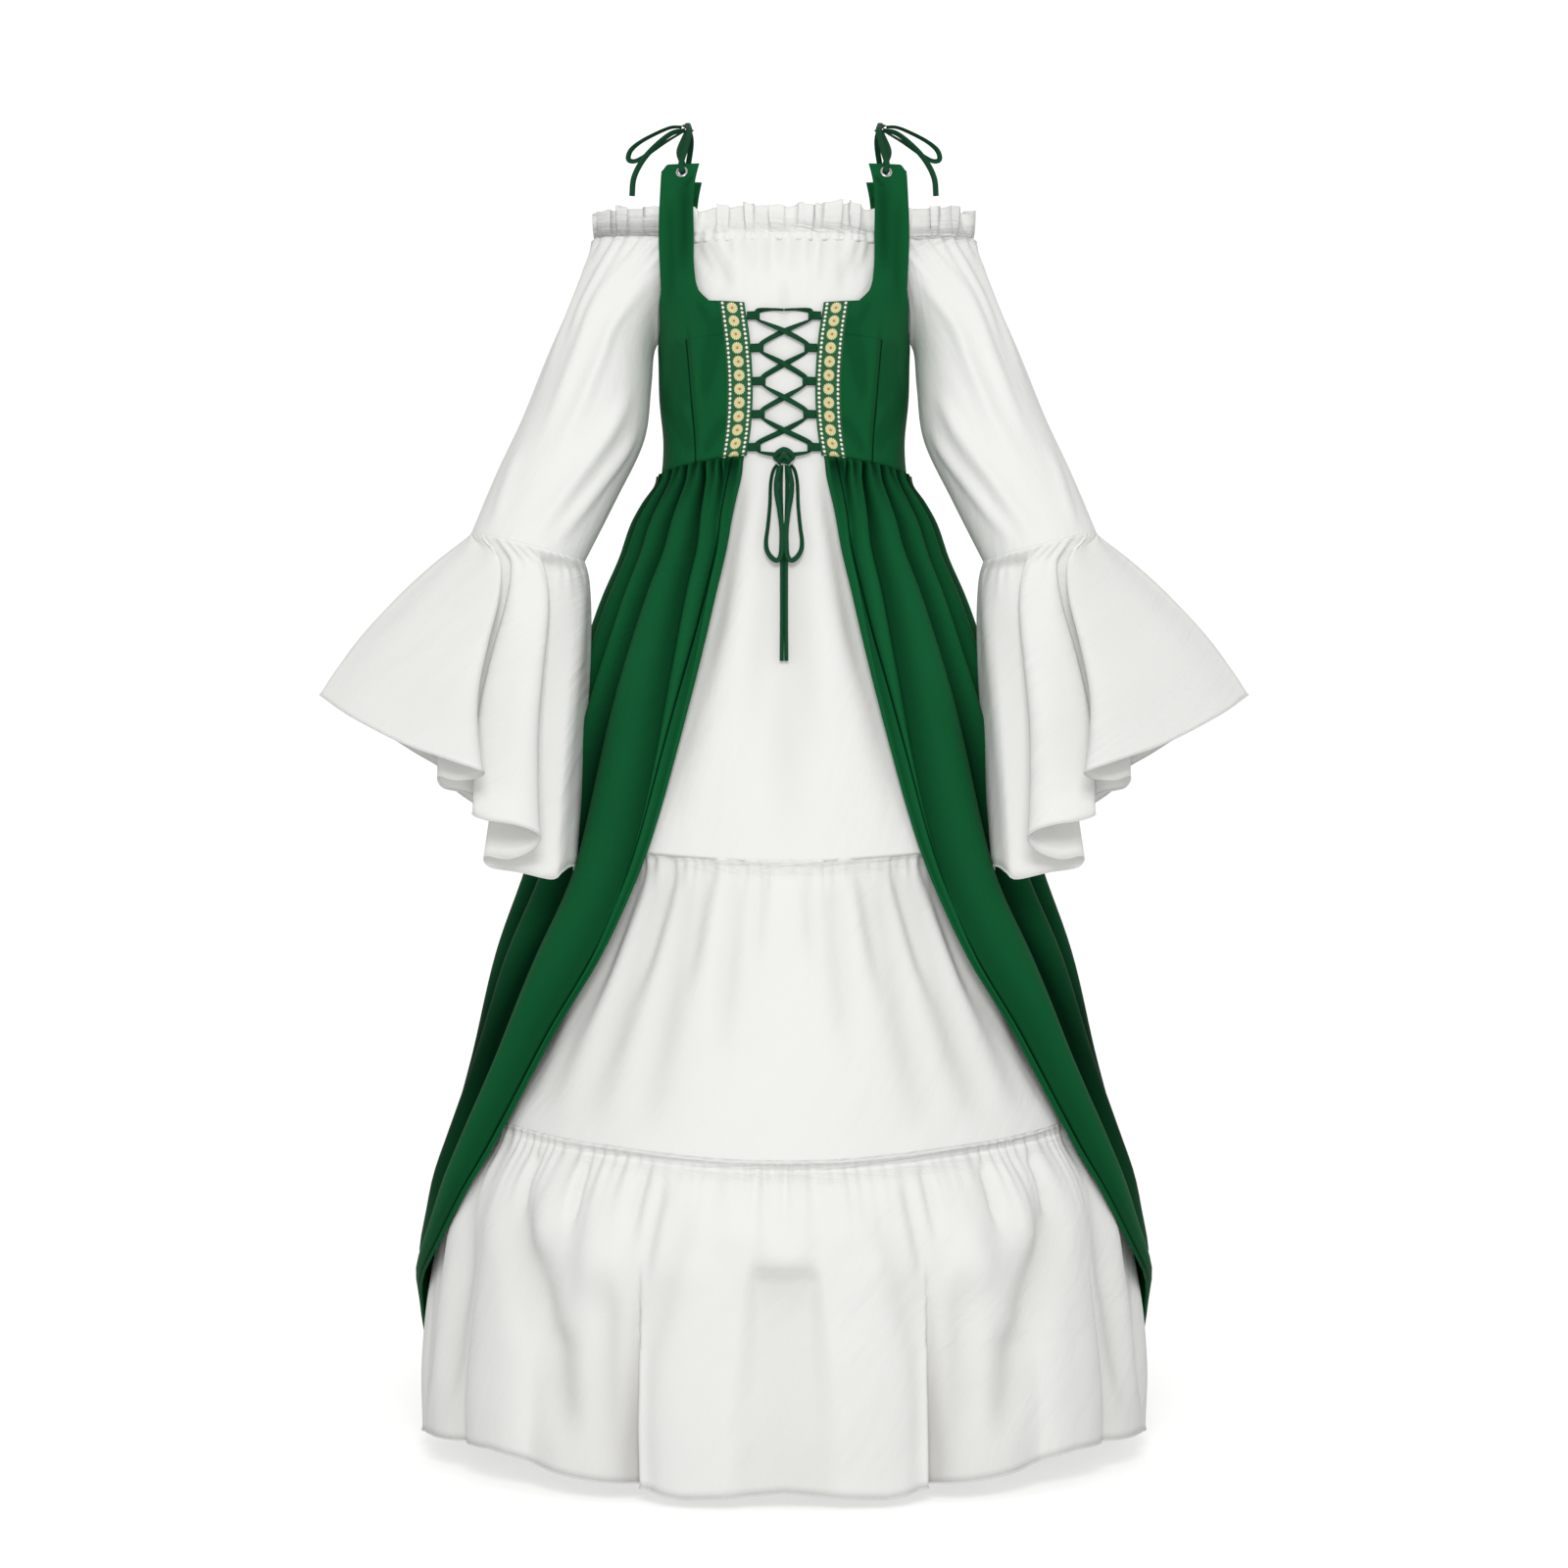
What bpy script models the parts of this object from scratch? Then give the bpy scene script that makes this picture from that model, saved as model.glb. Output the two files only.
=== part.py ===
"""A laced over-gown worn over an off-shoulder chemise with a tiered skirt, as its cut pieces.

Sizes are in millimetres and become metres where a mesh is made. +X is the wearer's left, -Y the
front, +Z up. The origin lies midway between the shoulders, at the height where the ties cross them.
A "drop" is a distance below that height. Angles turn from the front centre, +90 degrees at +X.
"""

import math
from collections import namedtuple

import bmesh
import bpy
import numpy as np
from mathutils import Vector

MM = 0.001

# Cloth walls, and the gaps between pieces
CLOTH_WALL = 1.2
TRIM_WALL = 1.0
SEAM_GAP = 0.3
SIDE_GAP = 0.7
LAYER_GAP = 1.1

# Heights of the cut, as drops
NECK_DROP = 125.0
SHOULDER_DROP = 120.0
UNDERARM_DROP = 224.0
BODY_SEAM_DROP = 765.0
TIER_SEAM_DROP = 1055.0
HEM_DROP = 1375.0
LIFT_START = 1180.0
STRAP_TOP_DROP = 48.0
NECKLINE_DROP = 195.0
BACK_NECKLINE_DROP = 155.0
WAIST_DROP = 353.0
WAIST_DIP = 14.0
WAIST_REACH = 70.0
OVERSKIRT_HEM_DROP = 1345.0

# Frill, trim, tabs, eyelets and laces
FRILL_HEIGHT = 30.0
FRILL_PITCH = 27.0
FRILL_DEPTH = 9.0
FRILL_INWARD = 0.6
TRIM_WIDTH = 25.0
TAB_DROPS = (214.0, 247.0, 280.0, 313.0, 346.0)
TAB_REACH = 12.0
TAB_HEIGHT = 8.0
TAB_WALL = 1.6
TAB_GAP = 0.9
TAB_ROOT_GAP = 1.3
EYELET_DROP = 57.6
EYELET_SIDE = 105.5
EYELET_RADIUS = 6.4
EYELET_HOLE = 4.0
EYELET_WALL = 1.2
LACE_RADIUS = 2.2
TIE_RADIUS = 1.8
TIE_SIDE = 101.0
KNOT_GAP = 0.4

Level = namedtuple("Level", "drop half_width front back")
Edge = namedtuple("Edge", "drop value")
Depth = namedtuple("Depth", "drop side back")
Fold = namedtuple("Fold", "angle depth lean")
Ring = namedtuple("Ring", "outer_x outer_drop outer_forward inner_x inner_drop inner_forward depth")
Stop = namedtuple("Stop", "x drop out")
Lift = namedtuple("Lift", "angle height")

# Outer face of the chemise: its sections from the neck elastic to the hem
CHEMISE_FORM = (
    Level(100, 148.0, 82.0, 80.0),
    Level(125, 146.5, 87.0, 83.5),
    Level(150, 142.0, 98.0, 88.0),
    Level(180, 138.0, 106.0, 91.0),
    Level(225, 131.0, 114.0, 92.0),
    Level(290, 128.5, 104.0, 88.0),
    Level(335, 124.5, 97.0, 85.0),
    Level(362, 126.0, 95.0, 85.0),
    Level(400, 134.0, 101.0, 93.0),
    Level(460, 152.0, 113.0, 106.0),
    Level(530, 178.0, 131.0, 126.0),
    Level(650, 214.0, 160.0, 158.0),
    Level(765, 243.0, 188.0, 190.0),
    Level(860, 266.0, 210.0, 214.0),
    Level(980, 300.0, 240.0, 246.0),
    Level(1055, 322.0, 262.0, 266.0),
    Level(1085, 338.0, 276.0, 280.0),
    Level(1120, 350.0, 287.0, 291.0),
    Level(1220, 373.0, 301.0, 304.0),
    Level(1290, 380.0, 307.0, 309.0),
    Level(1380, 380.0, 311.0, 313.0),
)

# Outer face of the bodice's straps, which stand clear of the chemise's frill
STRAP_FORM = (
    Level(45, 196.0, 58.0, 58.0),
    Level(90, 195.0, 80.0, 80.0),
    Level(128, 190.0, 93.0, 91.0),
    Level(160, 169.0, 102.0, 95.0),
    Level(195, 152.0, 112.0, 98.0),
    Level(225, 140.0, 116.0, 96.0),
)
STRAP_MERGE = (165, 225)

# Inner face of the over-skirt, which hangs clear of the chemise's tiers
OVERSKIRT_FORM = (
    Level(350, 126.2, 96.8, 86.0),
    Level(375, 129.4, 97.4, 88.0),
    Level(395, 139.0, 105.0, 100.0),
    Level(413, 147.0, 111.0, 107.0),
    Level(452, 158.0, 120.0, 118.0),
    Level(494, 174.0, 131.0, 132.0),
    Level(528, 185.0, 141.0, 144.0),
    Level(650, 222.0, 168.0, 174.0),
    Level(782, 253.0, 198.0, 206.0),
    Level(855, 277.0, 217.0, 230.0),
    Level(980, 308.0, 247.0, 262.0),
    Level(1055, 332.0, 270.0, 284.0),
    Level(1105, 353.0, 290.0, 306.0),
    Level(1138, 362.0, 298.0, 312.0),
    Level(1197, 376.0, 307.0, 320.0),
    Level(1240, 381.0, 312.0, 325.0),
    Level(1345, 382.0, 320.0, 334.0),
)

# How far the over-skirt's folds stand out, at its sides and at its back
OVERSKIRT_FOLDS = (
    Depth(350, 0.0, 0.0),
    Depth(372, 0.0, 0.0),
    Depth(395, 8.0, 8.0),
    Depth(420, 12.0, 12.0),
    Depth(494, 18.0, 20.0),
    Depth(650, 22.0, 26.0),
    Depth(980, 25.0, 34.0),
    Depth(1055, 22.0, 36.0),
    Depth(1105, 12.0, 37.0),
    Depth(1197, 7.0, 38.0),
    Depth(1345, 5.0, 38.0),
)

# Angle of the over-skirt's open front edge
OPEN_EDGE = (
    Edge(350, 18.5),
    Edge(470, 22.0),
    Edge(590, 26.0),
    Edge(750, 33.0),
    Edge(865, 41.0),
    Edge(945, 51.0),
    Edge(1025, 59.0),
    Edge(1130, 69.0),
    Edge(1180, 77.0),
    Edge(1222, 89.0),
    Edge(1290, 99.0),
    Edge(1345, 104.0),
)

# Distance from the centre line of the bodice's laced edge, and of each side of its straps
LACED_EDGE = (Edge(195, 40.5), Edge(247, 34.0), Edge(290, 32.0), Edge(325, 34.0), Edge(360, 39.5))
STRAP_INNER = (
    Edge(45, 87.0), Edge(65, 91.5), Edge(128, 93.0), Edge(165, 92.0), Edge(195, 86.0), Edge(360, 80.0),
)
STRAP_OUTER = (Edge(45, 127.0), Edge(128, 129.0), Edge(180, 127.0))

# Angle of the seam between body and sleeve, and of the bodice's armhole
SLEEVE_SEAM = (Edge(125, 50.1), Edge(180, 68.0), Edge(205, 79.0), Edge(224, 90.0))
ARMHOLE = (Edge(180, 60.0), Edge(210, 72.0), Edge(225, 81.0), Edge(240, 90.0))

# The sleeve on the wearer's left, as rings across the arm from below the armpit to the cuff seam
SLEEVE_RINGS = (
    Ring(215.0, 172.0, 2.0, 137.5, 240.0, 2.0, 61.0),
    Ring(242.0, 238.0, 8.0, 140.0, 276.0, 10.0, 63.0),
    Ring(270.0, 304.0, 18.0, 147.0, 332.0, 22.0, 61.0),
    Ring(298.0, 367.0, 32.0, 176.0, 396.0, 38.0, 56.0),
    Ring(322.0, 429.0, 50.0, 206.0, 459.0, 58.0, 50.0),
)
SLEEVE_TOP_REACH = 84.0
SEAM_SLOPE_GAP = 1.3

# The flounce below it, from the cuff to the hem
FLOUNCE_RINGS = (
    Ring(322.4, 429.3, 50.0, 206.0, 459.5, 58.0, 50.0),
    Ring(335.0, 441.0, 54.0, 200.0, 478.0, 66.0, 54.0),
    Ring(363.0, 467.0, 64.0, 197.0, 515.0, 84.0, 62.0),
    Ring(400.0, 505.0, 84.0, 197.0, 570.0, 112.0, 74.0),
    Ring(433.0, 543.0, 106.0, 199.0, 630.0, 144.0, 86.0),
    Ring(455.0, 574.0, 128.0, 202.0, 698.0, 180.0, 97.0),
    Ring(471.0, 601.0, 146.0, 205.0, 770.0, 214.0, 106.0),
)
FLOUNCE_DROOP = 38.0
FLOUNCE_DROOP_SPAN = 0.5

# Valleys of the largest folds; the tier's table is mirrored to the other side
TIER_FOLDS = (
    Fold(0, 15.0, 0.0), Fold(22, 26.0, -4.0), Fold(39, 18.0, 1.0), Fold(58, 14.0, 0.0),
    Fold(80, 12.0, 1.0), Fold(104, 18.0, -2.0), Fold(128, 24.0, 2.0), Fold(154, 20.0, -2.0),
    Fold(180, 22.0, 0.0),
)
FLOUNCE_FOLDS = (
    Fold(-62, 24.0, 4.0), Fold(40, 9.0, 0.0), Fold(104, 34.0, -6.0), Fold(138, 32.0, -6.0),
    Fold(198, 28.0, 4.0), Fold(246, 28.0, -3.0), Fold(298, 24.0, 4.0),
)
FOLD_PINCH = 0.55

# How far the bottom tier's hem is lifted at each angle; it is mirrored to the other side
HEM_LIFT = (
    Lift(0, 7.0), Lift(14, 0.0), Lift(28, 9.0), Lift(50, 28.0), Lift(72, 22.0), Lift(90, 8.0),
    Lift(120, 14.0), Lift(150, 6.0), Lift(180, 10.0),
)

# Mesh rows, as drops, and columns
SLEEVE_SEAM_DROPS = (125, 150, 175, 195, 210, 224)
BODY_DROPS = (240, 265, 295, 325, WAIST_DROP)
CHEMISE_DROPS = SLEEVE_SEAM_DROPS + BODY_DROPS + (375, 400, 470, 560, 660, BODY_SEAM_DROP)
CHEMISE_COLUMNS = 12
MIDDLE_DROPS = (BODY_SEAM_DROP, 782, 830, 930, TIER_SEAM_DROP)
MIDDLE_GATHERS = 22
MIDDLE_GATHER_DEPTH = 5.0
MIDDLE_FRONT_COLUMNS = 44
MIDDLE_BACK_COLUMNS = 24
BOTTOM_DROPS = (TIER_SEAM_DROP, 1070, 1100, 1170, 1260, HEM_DROP)
BOTTOM_GATHERS = 24
BOTTOM_GATHER_DEPTH = 7.0
BOTTOM_FRONT_COLUMNS = 48
BOTTOM_BACK_COLUMNS = 28
STRAP_DROPS = (STRAP_TOP_DROP, 53.9, 61.3, 90, 125, BACK_NECKLINE_DROP)
BODICE_DROPS = STRAP_DROPS + (175, NECKLINE_DROP, 210, 224) + BODY_DROPS
STRAP_SHARES = (0.0, 0.16, 0.31, 0.50, 0.75, 1.0)
EYELET_CELL = 2
OVERSKIRT_DROPS = (WAIST_DROP, 375, 405, 480, 610, 760, 900, 1020, 1120, 1200, 1270, OVERSKIRT_HEM_DROP)
OVERSKIRT_FOLDS_A_SIDE = 8
OVERSKIRT_SEAM_FOLD = 5
OVERSKIRT_COLUMNS_A_FOLD = 4
OVERSKIRT_PINCH = 0.5
OVERSKIRT_SIDE_GAP = 0.005
SLEEVE_COLUMNS = 20
FLOUNCE_COLUMNS = 36
FLOUNCE_GATHERS = 9
FLOUNCE_GATHER_DEPTH = 2.4
FLOUNCE_START_ANGLE = -62.0

COLOURS = {
    "white_cloth": ((0.88, 0.88, 0.85), 0.75, 0.0),
    "green_cloth": ((0.02, 0.17, 0.06), 0.55, 0.0),
    "green_trim": ((0.35, 0.33, 0.12), 0.6, 0.0),
    "green_lace": ((0.01, 0.11, 0.04), 0.5, 0.0),
    "eyelet_metal": ((0.75, 0.75, 0.75), 0.25, 1.0),
}


def smooth_value(at, places, values):
    """A smooth curve through (place, value) pairs, read at any number of places."""
    places, values = np.asarray(places, float), np.asarray(values, float)
    slopes = np.gradient(values, places)
    at = np.clip(np.asarray(at, float), places[0], places[-1])
    i = np.clip(np.searchsorted(places, at, side="right") - 1, 0, len(places) - 2)
    span = places[i + 1] - places[i]
    t = (at - places[i]) / span
    return (
        values[i] * (1 + 2 * t) * (1 - t) ** 2
        + slopes[i] * span * t * (1 - t) ** 2
        + values[i + 1] * t * t * (3 - 2 * t)
        - slopes[i + 1] * span * t * t * (1 - t)
    )


def read(table, at, column):
    """One column of a table of named rows, at any drop."""
    return smooth_value(at, [row.drop for row in table], [getattr(row, column) for row in table])


def ease(t):
    t = np.clip(t, 0.0, 1.0)
    return t * t * (3 - 2 * t)


def form_radii(form, angle, drop):
    """Half width of a form, and its depth on the side that each angle looks to."""
    depth = np.where(np.cos(angle) > 0, read(form, drop, "front"), read(form, drop, "back"))
    return read(form, drop, "half_width"), depth


def around(radii, angle, drop, out=0.0):
    """Points at each angle of an ellipse with these radii, moved out from it."""
    half_width, depth = radii
    x = (half_width + out) * np.sin(angle)
    y = -(depth + out) * np.cos(angle)
    return np.stack(np.broadcast_arrays(x, y, -np.asarray(drop, float)), axis=-1)


def front_point(x, drop, out):
    """The point at a distance x from the centre line, a little out from the chemise's front."""
    half_width, depth = form_radii(CHEMISE_FORM, 0.0, drop)
    return around((half_width, depth), np.arcsin(x / (half_width + out)), drop, out)


def fold_wave(angle, folds):
    """Sideways shift and depth of the cloth at each angle, in degrees and millimetres.

    The cloth dips at each angle of the table. It is drawn in towards the dip, and its bottom leans
    to one side, so that the next fold lies over it.
    """
    places, depths, leans = (np.array(column, float) for column in zip(*folds))
    count = np.interp(angle, places, np.arange(len(places)))
    pitch = np.interp(angle, places, np.gradient(places))
    phase = 2 * np.pi * count
    dip = (1 + np.cos(phase)) / 2
    shift = np.interp(angle, places, leans) * dip - FOLD_PINCH * np.sin(phase) * pitch / (2 * np.pi)
    return shift, np.interp(angle, places, depths) * dip


def material(name, finish):
    colour, roughness, metallic = COLOURS[finish]
    made = bpy.data.materials.new(f"{name}_{finish}")
    made.use_nodes = True
    shader = made.node_tree.nodes["Principled BSDF"]
    shader.inputs["Base Color"].default_value = (*colour, 1.0)
    shader.inputs["Roughness"].default_value = roughness
    shader.inputs["Metallic"].default_value = metallic
    return made


def add_object(name, data, finish):
    made = bpy.data.objects.new(name, data)
    made.data.materials.append(material(name, finish))
    bpy.context.scene.collection.objects.link(made)
    return made


def cloth(name, finish, grid, wall=CLOTH_WALL, closed=False, keep=None):
    """One cut piece: a sheet through rows of points, top row first, whose wall lies inside it.

    keep says which of the grid's faces exist, where a panel has a cut-out.
    """
    rows, columns = grid.shape[:2]
    faces = []
    for i in range(rows - 1):
        for j in range(columns if closed else columns - 1):
            right = (j + 1) % columns
            if keep is None or keep[i, j]:
                low, high = i * columns, (i + 1) * columns
                faces.append((low + j, high + j, high + right, low + right))
    used = sorted({corner for face in faces for corner in face})
    place = {corner: number for number, corner in enumerate(used)}
    mesh = bpy.data.meshes.new(name)
    points = grid.reshape(-1, 3)[used] * MM
    mesh.from_pydata(points.tolist(), [], [[place[corner] for corner in face] for face in faces])
    mesh.shade_smooth()
    made = add_object(name, mesh, finish)
    solidify = made.modifiers.new("wall", "SOLIDIFY")
    solidify.thickness = wall * MM
    solidify.offset = -1.0
    solidify.use_even_offset = True
    solidify.use_quality_normals = True
    return made


def other_side(grid):
    """The same panel on the wearer's other side, still facing out."""
    return (grid * np.array([-1.0, 1.0, 1.0]))[:, ::-1]


def moved_out(grid, distance):
    """The same sheet, moved out along its own normals."""
    across = np.gradient(grid, axis=1)
    down = np.gradient(grid, axis=0)
    normal = np.cross(down, across)
    return grid + distance * normal / np.linalg.norm(normal, axis=-1, keepdims=True)


def side_angle(radius):
    """Where a front or back panel ends, half a gap before the side seam."""
    return np.pi / 2 - SIDE_GAP / 2 / radius


def make_chemise(name, facing):
    """The chemise's body, front or back, cut away at the top for the sleeves."""
    drop = np.array(CHEMISE_DROPS, float)[:, None]
    half_width = read(CHEMISE_FORM, drop, "half_width")
    seam = np.radians(read(SLEEVE_SEAM, drop, "value"))
    extent = np.where(drop < UNDERARM_DROP, seam, side_angle(half_width))
    angle = facing + np.linspace(-1, 1, CHEMISE_COLUMNS + 1)[None, :] * extent
    drop = np.broadcast_to(drop, angle.shape).copy()
    drop[-1] -= SEAM_GAP / 2
    cloth(name, "white_cloth", around(form_radii(CHEMISE_FORM, angle, drop), angle, drop))


def tier_grid(drops, columns, facing, gathers, gather_depth, fade_drop, fold_start):
    """A gathered tier: fine gathers below its seam and, from fold_start on, the large folds.

    A fold_start below the tier's own bottom leaves the large folds out, and its gathers close there.
    """
    drop = np.array(drops, float)[:, None]
    drop = drop + SEAM_GAP / 2 * (drop == drop[0]) - SEAM_GAP / 2 * (drop == drop[-1])
    side = side_angle(read(CHEMISE_FORM, drop, "half_width"))
    flat = facing + np.linspace(-1, 1, columns + 1)[None, :] * side
    turned = np.degrees((flat + np.pi) % (2 * np.pi) - np.pi)
    shift, dip = fold_wave(np.abs(turned), TIER_FOLDS)
    edge = 1 - np.abs(np.linspace(-1, 1, columns + 1)) ** 12
    growth = ease((drop - fold_start) / 180)
    rise = ease((drop - drops[0]) / 22) * (1 - 0.85 * ease((drop - fade_drop) / 150))
    close = ease((drops[-1] - drop) / 20) if fold_start > drops[-1] else 1.0
    gather = gather_depth * rise * close * (1 + np.cos(gathers * flat)) / 2
    angle = flat + np.radians(shift * np.sign(turned)) * growth * edge
    out = -gather - dip * growth
    lift = np.interp(np.abs(turned), [row.angle for row in HEM_LIFT], [row.height for row in HEM_LIFT])
    hem = np.broadcast_to(drop, angle.shape) - lift * ease((drop - LIFT_START) / (HEM_DROP - LIFT_START))
    return around(form_radii(CHEMISE_FORM, angle, drop), angle, hem, out)


def make_tiers():
    for name, facing, middle, bottom in (
        ("front", 0.0, MIDDLE_FRONT_COLUMNS, BOTTOM_FRONT_COLUMNS),
        ("back", np.pi, MIDDLE_BACK_COLUMNS, BOTTOM_BACK_COLUMNS),
    ):
        grid = tier_grid(MIDDLE_DROPS, middle, facing, MIDDLE_GATHERS, MIDDLE_GATHER_DEPTH, 800, HEM_DROP)
        cloth(f"tier_middle_{name}", "white_cloth", grid)
        grid = tier_grid(BOTTOM_DROPS, bottom, facing, BOTTOM_GATHERS, BOTTOM_GATHER_DEPTH, 1110, 1100)
        cloth(f"tier_bottom_{name}", "white_cloth", grid)


def neck_arc(turn, gap=0.0):
    """The neck edge over the left arm: turn 0 at the arm's outer side, +-90 degrees at the seams."""
    seam = np.radians(SLEEVE_SEAM[0].value)
    front = around(form_radii(CHEMISE_FORM, seam, NECK_DROP), seam, NECK_DROP)
    back = around(form_radii(CHEMISE_FORM, np.pi - seam, NECK_DROP), np.pi - seam, NECK_DROP)
    depth = np.where(turn > 0, -front[1], back[1])
    x = front[0] + gap + SLEEVE_TOP_REACH * np.cos(turn)
    y = -depth * np.sin(turn)
    drop = SHOULDER_DROP + (NECK_DROP - SHOULDER_DROP) * np.sin(turn) ** 2
    return np.stack([x, y, -drop], axis=-1)


def ring_points(ring, turn):
    """Points round one ring across the arm: turn 0 at its outer side, 90 degrees in front."""
    outward = (1 + np.cos(turn)) / 2
    x = ring.inner_x + (ring.outer_x - ring.inner_x) * outward
    drop = ring.inner_drop + (ring.outer_drop - ring.inner_drop) * outward
    forward = ring.inner_forward + (ring.outer_forward - ring.inner_forward) * outward
    return np.stack([x, -forward - ring.depth * np.sin(turn), -drop], axis=-1)


def sleeve_top(turn):
    """The sleeve's top edge: the neck edge over the arm, then down the seam to the armpit."""
    past = np.clip((np.abs(np.degrees(turn)) - 90) / 90, 0, 1)
    steps = np.linspace(0, 1, len(SLEEVE_SEAM_DROPS))
    drop = np.interp(past, steps, SLEEVE_SEAM_DROPS) + SEAM_SLOPE_GAP * (past > 0.99)
    angle = np.radians(read(SLEEVE_SEAM, np.minimum(drop, UNDERARM_DROP), "value"))
    angle = np.where(turn > 0, angle, np.pi - angle)
    seam = around(form_radii(CHEMISE_FORM, angle, drop), angle, drop)
    seam[:, 0] += SEAM_SLOPE_GAP
    return np.where((past > 0)[:, None], seam, neck_arc(turn, SEAM_SLOPE_GAP))


def make_sleeves():
    turn = np.radians(180 - np.arange(SLEEVE_COLUMNS) * 360 / SLEEVE_COLUMNS)
    grid = np.stack([sleeve_top(turn)] + [ring_points(ring, turn) for ring in SLEEVE_RINGS])
    cloth("sleeve_left", "white_cloth", grid[:, ::-1], closed=True)
    cloth("sleeve_right", "white_cloth", other_side(grid[:, ::-1]), closed=True)


def make_flounces():
    """Bell flounces: fine gathers at the cuff that run out into a few deep folds."""
    rows = []
    flat = np.arange(FLOUNCE_COLUMNS) * 360 / FLOUNCE_COLUMNS + FLOUNCE_START_ANGLE
    gathers = (1 + np.cos(np.radians(flat) * FLOUNCE_GATHERS)) / 2
    shift, dip = fold_wave(flat, FLOUNCE_FOLDS)
    for number, ring in enumerate(FLOUNCE_RINGS):
        fall = number / (len(FLOUNCE_RINGS) - 1)
        growth = ease(fall * 1.15 - 0.1)
        turn = np.radians(flat + shift * growth)
        gather = FLOUNCE_GATHER_DEPTH * ease(fall * 8) * (1 - ease(fall * 2.2)) * gathers
        points = ring_points(ring, turn)
        outward = (1 + np.cos(turn)) / 2 / FLOUNCE_DROOP_SPAN
        points[:, 2] -= FLOUNCE_DROOP * fall**2 * np.sin(np.pi * np.clip(outward, 0, 1))
        middle = ring_points(ring, np.radians(np.array([0.0, 180.0]))).mean(axis=0)
        inward = middle - points
        inward /= np.linalg.norm(inward, axis=1, keepdims=True)
        rows.append(points + inward * (dip * growth + gather)[:, None])
    grid = np.stack(rows)
    cloth("flounce_left", "white_cloth", grid[:, ::-1], closed=True)
    cloth("flounce_right", "white_cloth", other_side(grid[:, ::-1]), closed=True)


def frill(name, base):
    """A standing frill above a stretch of the neck elastic, in even waves."""
    base = base + np.array([0.0, 0.0, 2 * SEAM_GAP])
    along = np.concatenate([[0], np.cumsum(np.linalg.norm(np.diff(base, axis=0), axis=1))])
    waves = max(2, round(along[-1] / FRILL_PITCH))
    even = np.linspace(0, along[-1], waves * 4 + 1)
    line = np.stack([np.interp(even, along, base[:, axis]) for axis in range(3)], axis=1)
    tangent = np.gradient(line, axis=0)
    outward = np.stack([tangent[:, 1], -tangent[:, 0], 0 * tangent[:, 0]], axis=1)
    outward /= np.linalg.norm(outward, axis=1, keepdims=True)
    phase = 2 * np.pi * waves * even / along[-1]
    wave = FRILL_DEPTH * ((1 - np.cos(phase)) / 2 - FRILL_INWARD)[:, None]
    top = line + outward * wave + np.array([0.0, 0.0, FRILL_HEIGHT])
    low = line + outward * wave * 0.25 + np.array([0.0, 0.0, FRILL_HEIGHT * 0.12])
    cloth(name, "white_cloth", np.stack([top, low, line]))


def make_frills():
    half = np.radians(SLEEVE_SEAM[0].value)
    for name, facing in (("neck_frill_front", 0.0), ("neck_frill_back", np.pi)):
        angle = facing + np.linspace(-half, half, 90)
        frill(name, around(form_radii(CHEMISE_FORM, angle, NECK_DROP), angle, NECK_DROP))
    base = neck_arc(np.linspace(np.pi / 2, -np.pi / 2, 90), SEAM_SLOPE_GAP)
    frill("sleeve_frill_left", base)
    frill("sleeve_frill_right", base[::-1] * np.array([-1.0, 1.0, 1.0]))


def dipped(drop, angle):
    """The waist seam lies lower at the sides, and the cloth near it follows."""
    near = ease(1 - np.abs(drop - WAIST_DROP) / WAIST_REACH)
    return drop + WAIST_DIP * near * np.sin(angle) ** 2


def bodice_radii(angle, drop):
    """The bodice's outer face: over the chemise, and at the straps clear of it."""
    merge = ease((drop - STRAP_MERGE[0]) / (STRAP_MERGE[1] - STRAP_MERGE[0]))
    over = [radius + LAYER_GAP + CLOTH_WALL for radius in form_radii(CHEMISE_FORM, angle, drop)]
    strap = form_radii(STRAP_FORM, angle, drop)
    return [a + (b - a) * merge for a, b in zip(strap, over)]


def bodice_angles(drop, inner_sides):
    """Angles of the bodice's columns on one side, from the middle out to the side seam."""
    half_width = bodice_radii(0.0, drop)[0]
    boundary = np.arcsin(read(STRAP_INNER, drop, "value") / half_width)
    strap_edge = np.arcsin(np.minimum(read(STRAP_OUTER, drop, "value") / half_width, 1.0))
    armhole = np.radians(read(ARMHOLE, drop, "value")) - SIDE_GAP / 2 / half_width
    edge = np.where(drop < ARMHOLE[0].drop, strap_edge, armhole)
    shares = np.array(STRAP_SHARES)
    even = np.linspace(0, 1, len(shares))
    shares = shares + (even - shares) * ease((drop - NECK_DROP) / (NECKLINE_DROP - NECK_DROP))
    outer = boundary + (edge - boundary) * shares
    inner = [np.arcsin(side / half_width) for side in inner_sides]
    spans = 2 + (len(inner) == 1)
    inner += [inner[-1] + (boundary - inner[-1]) * step / spans for step in range(1, spans)]
    return np.concatenate([np.concatenate(inner, axis=1), outer], axis=1)


def bodice_points(angle, drop):
    drop = dipped(np.broadcast_to(drop, angle.shape), angle)
    return around(bodice_radii(angle, drop), angle, drop)


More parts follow.
